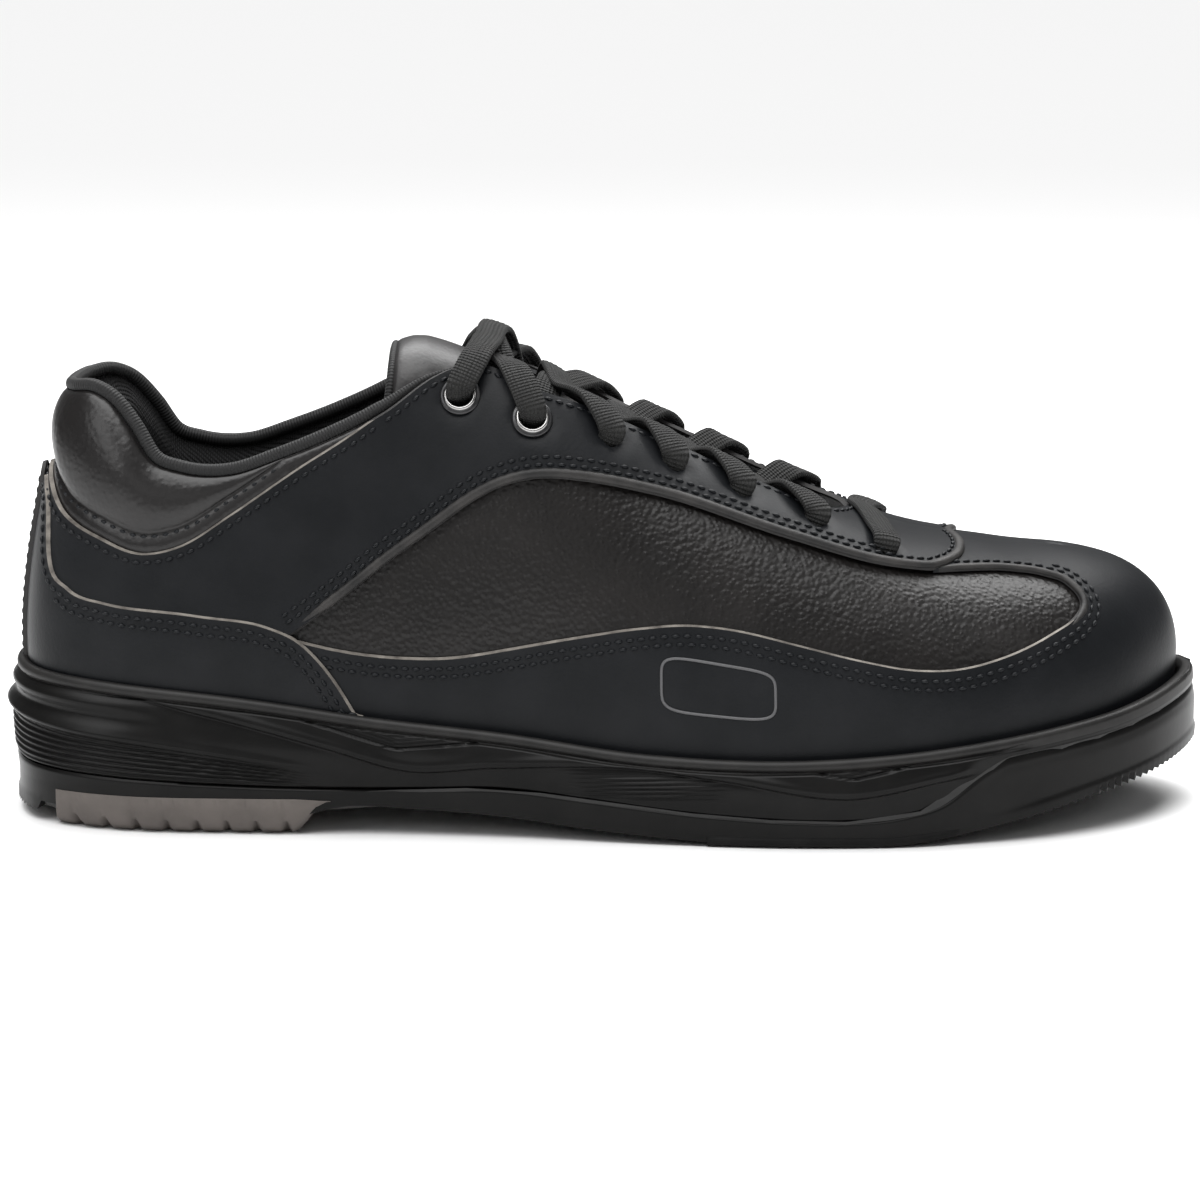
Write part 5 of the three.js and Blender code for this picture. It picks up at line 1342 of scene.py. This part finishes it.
# From the groove up over the lip the faces take the lighter rubber, painted highlight along the rim.
groove_out = np.maximum(wall_out(ring_x, rim_z - 3.2) - 0.9 * (1 - at_toe), TOE_WALL * at_toe)
rings.append(beside(RING_S, groove_out, rim_z - 3.1))
materials_by_row.append(1)
for angle in np.linspace(-70, 100, 12):
    a = math.radians(angle)
    rounded = max(a, 0)
    out, drop = LIP_CENTRE + LIP_RADIUS * math.cos(a), LIP_RADIUS * (1 - math.sin(a))
    toe_out = TOE_LIP_CENTRE + TOE_LIP_OUT * math.cos(rounded)
    toe_drop = TOE_LIP_DROP * (1 - math.sin(rounded)) - 0.1 * min(a, 0)
    rings.append(beside(RING_S, out * (1 - at_toe) + toe_out * at_toe,
                        rim_z - drop * (1 - at_toe) - toe_drop * at_toe))
    materials_by_row.append(1)
for out, drop in ((3.4, 0.15), (2.6, 0.7), (1.9, 2.0), (1.9, CUP_DEPTH + 0.9)):
    ring = on_last(RING_S, 0, out)
    ring[:, 2] = rim_z - drop
    rings.append(ring)
    materials_by_row.append(0)
midsole = ring_stack("midsole_wall", rings, [RUBBER, RIM_HIGHLIGHT_RUBBER], materials_by_row[:-1])
declare(midsole, "shoe", "midsole", "midsole")

# ---- Outsole wall ----
# The outsole's outer skin has a moulding seam along its top, small teeth round the toe and a
# ragged step at the heel. Inside it is the outsole itself, with the pockets for the pads.

TOOTH_PITCH = 2.3
POCKET_BACK, POCKET_FRONT, POCKET_ROOF = 13.5, 92, 5.1
run_round = run_along(last(RING_S, 0))
teeth = np.abs(((run_round / TOOTH_PITCH) % 1) * 2 - 1)
toothed = blend(ring_x, 240, 262)
ragged = 1 - blend(ring_x, 13.0, 13.5)
under_z = curve(UNDERSIDE, ring_x) + spring(ring_x)
over_pocket = (ring_x > POCKET_BACK) & (ring_x < POCKET_FRONT)
under_z = np.where(over_pocket, np.maximum(under_z, POCKET_ROOF), under_z)
tooth_drop = (0.9 * toothed + 1.3 * ragged) * teeth
outsole_rings = [beside(RING_S, 3.9, under_z + 0.15)]
for k in np.linspace(0, 1, 26):
    z = under_z - 0.05 + (seam_z - 0.3 - under_z) * k
    low_part = 1 - blend(z - under_z, 1.6, 3.2)
    out = np.maximum(wall_out(ring_x, z) + 0.1, WALL_FOOT) - 0.5 * max(0, (k - 0.93) / 0.07)
    out = out + toothed * low_part * 0.7 * teeth + 0.4 * ragged * low_part * teeth
    outsole_rings.append(beside(RING_S, out, z - tooth_drop * max(0, 1 - k * 8)))
outsole_rings.append(beside(RING_S, 3.9, seam_z - 0.4))
outsole_rings.append(beside(RING_S, 3.9, under_z + 0.15))
outsole_skin = ring_stack("outsole_wall", outsole_rings, [RUBBER], [0] * len(outsole_rings), capped=False)
tidied(outsole_skin, angle=50)
declare(outsole_skin, "shoe", "outsole")

# ---- Slide pads ----
# Two pads peel off the sole on hook and loop: a thin dark microfibre one under the ball of the
# foot and a thick fawn rubber one under the heel, notched along its lower edge.

SOLE_PAD, SOLE_PAD_START = 2.4, 178
HEEL_PAD_START, HEEL_PAD_END = 14, 84
PAD_EDGE = 5.2
BALL_PAD_PROUD = 1.15
NICK_PITCH, NICK_DEPTH, NICK_RISE = 7.5, 1.3, 0.9
HEEL_PAD_ROOF = 8.6


def station_at(x):
    return float(np.interp(x, last(fine_s, 0)[:, 0], fine_s))


def pad_outline(start, end, count):
    # along the outer side from start to end, and back along the inner side
    side = np.linspace(start, end, count)
    back = -side[::-1]
    return np.concatenate([side, back[1:] if end == TOE else back])


SLIDE_FABRIC = finish("slide_fabric", (0.005, 0.005, 0.005), 0.7, grains=[("noise", 1500, 0.5, 0.2)],
                      tint=((0.01, 0.0097, 0.0095), 200, 0.6), Specular_IOR_Level=0.15)
pad_s = pad_outline(station_at(SOLE_PAD_START), TOE, 150)
pad_x = last(pad_s, 0)[:, 0]
pad_out = BALL_PAD_PROUD * (1 - blend(pad_x, 232, 246))
pad_rings = []
for out, height in ((PAD_EDGE - 1.2, 0.0), (PAD_EDGE - 0.2, 0.35), (PAD_EDGE, 0.9), (PAD_EDGE, 1.9),
                    (PAD_EDGE - 0.5, SOLE_PAD)):
    pad_rings.append(beside(pad_s, out + pad_out, spring(pad_x) + height))
count = len(pad_s)
ball_pad = ring_stack("ball_slide_pad", pad_rings, [SLIDE_FABRIC], [0] * 5, mates=lambda c: count - 1 - c)
declare(ball_pad, "sole_pad", "slide_pad", "slide_sole_pad")

FAWN_RUBBER = finish(
    "fawn_rubber", (0.115, 0.1, 0.091), 0.75, grains=[("noise", 800, 0.5, 0.25)],
    tint=((0.078, 0.068, 0.062), 120, 0.7),
)
pad_s = pad_outline(station_at(HEEL_PAD_END), station_at(HEEL_PAD_START), 190)
pad_x = last(pad_s, 0)[:, 0]
pad_run = run_along(last(pad_s, 0))
nick = np.exp(-(((pad_run % NICK_PITCH) - 3.7) / 0.8) ** 2)
ramp = blend(pad_x, 74, 84)
pad_rings = []
for out, height, bitten in (
    (1.5, 0.0, 0), (3.4, 0.0, 1), (PAD_EDGE + 0.4, 1.8, 1), (PAD_EDGE + 0.9, 3.2, 0.25),
    (PAD_EDGE + 1.1, 6.0, 0), (PAD_EDGE + 1.1, 8.7, 0), (PAD_EDGE + 0.8, 9.0, 0),
):
    ring = beside(pad_s, out - NICK_DEPTH * bitten * nick, height)
    ring[:, 2] += ramp * (HEEL_PAD_ROOF - height) * 0.97 + bitten * nick * NICK_RISE * (1 - ramp)
    ring[:, 0] = np.maximum(ring[:, 0], HEEL_PAD_START)
    pad_rings.append(ring)
count = len(pad_s)
for out, height in ((PAD_EDGE + 0.78, 4.9), (3.4, 4.6)):
    ring = beside(pad_s, out, height + ramp * (8.4 - height))
    ring[:, 0] = np.maximum(ring[:, 0], HEEL_PAD_START + (0.3 if out > 4 else 2))
    pad_rings.append(ring)
heel_pad = ring_stack("heel_slide_pad", pad_rings, [FAWN_RUBBER], [0] * len(pad_rings),
                      mates=lambda c: count - 1 - c)
tidied(heel_pad, angle=45)
declare(heel_pad, "heel_pad", "heel_rubber", "heel_pad_rubber")

# ---- Footbed ----
# A loose foam footbed with a knitted cover lies on the insole board, a little inside the wall of
# the cup. Its edges are rounded over, and it rises with the board at the heel and the toe.

FOOTBED_KNIT = finish("footbed_knit", (0.010, 0.010, 0.0105), 0.95, grains=[("pebble", 1100, 0.6, 0.3)],
                      tint=((0.022, 0.022, 0.023), 300, 0.5))
bed_s = RING_S[::2]
bed_z = edge_height(last(bed_s, 0)[:, 0])
bed_rings = [beside(bed_s, out, bed_z + height) for out, height in (
    (-6.4, -4.0), (-5.6, -3.6), (-5.4, -2.0), (-5.5, -0.5), (-6.2, 0.2), (-7.6, 0.45), (-10.5, 0.4),
)]
footbed = ring_stack("footbed_pad", bed_rings, [FOOTBED_KNIT], [0] * len(bed_rings))
declare(footbed, "footbed", "textile", "footbed_foam", "footbed_cover")

# ---- Hidden parts ----
# The stiffeners, facings, board, linings, hook fields and lace tips lie inside or underneath.
# They keep their plain shapes and get the finish of what they are made of.

STIFFENER = finish("stiffener_board", (0.2, 0.18, 0.15), 0.85, grains=[("noise", 1200, 0.4, 0.2)])
INSOLE_FIBRE = finish("insole_fibre", (0.014, 0.012, 0.010), 0.9, grains=[("noise", 700, 0.5, 0.3)],
                      tint=((0.024, 0.02, 0.017), 300, 0.7))
HOOK = finish("hook_field", (0.02, 0.02, 0.02), 0.6, grains=[("pebble", 1500, 0.9, 0.5)])
LOOP = finish("loop_field", (0.045, 0.045, 0.045), 1.0, grains=[("noise", 1700, 0.9, 0.5)])
OUTSOLE_RUBBER = finish(
    "outsole_rubber", (0.009, 0.009, 0.009), 0.55,
    grains=[("pebble", 420, 0.5, 0.5), ("noise", 900, 0.3, 0.1)], tint=((0.02, 0.019, 0.018), 90, 0.6),
)
LACE_TIP = finish("lace_tip", (0.012, 0.012, 0.012), 0.2, grains=[("noise", 600, 0.2, 0.05)])
for node, material in {
    "heel_counter": STIFFENER, "toe_puff": STIFFENER, "eyestay_facing_lateral": SMOOTH_LEATHER,
    "eyestay_facing_medial": SMOOTH_LEATHER, "vamp_lining": KNIT, "insole_board": INSOLE_FIBRE,
    "sole_hook_field": HOOK, "heel_hook_field": HOOK, "sole_pad_loop_backing": LOOP,
    "heel_pad_loop_backing": LOOP, "outsole": OUTSOLE_RUBBER, "aglet_lateral": LACE_TIP,
    "aglet_medial": LACE_TIP,
}.items():
    carried = bpy.data.objects[node]
    carried.data.materials.clear()
    carried.data.materials.append(material)
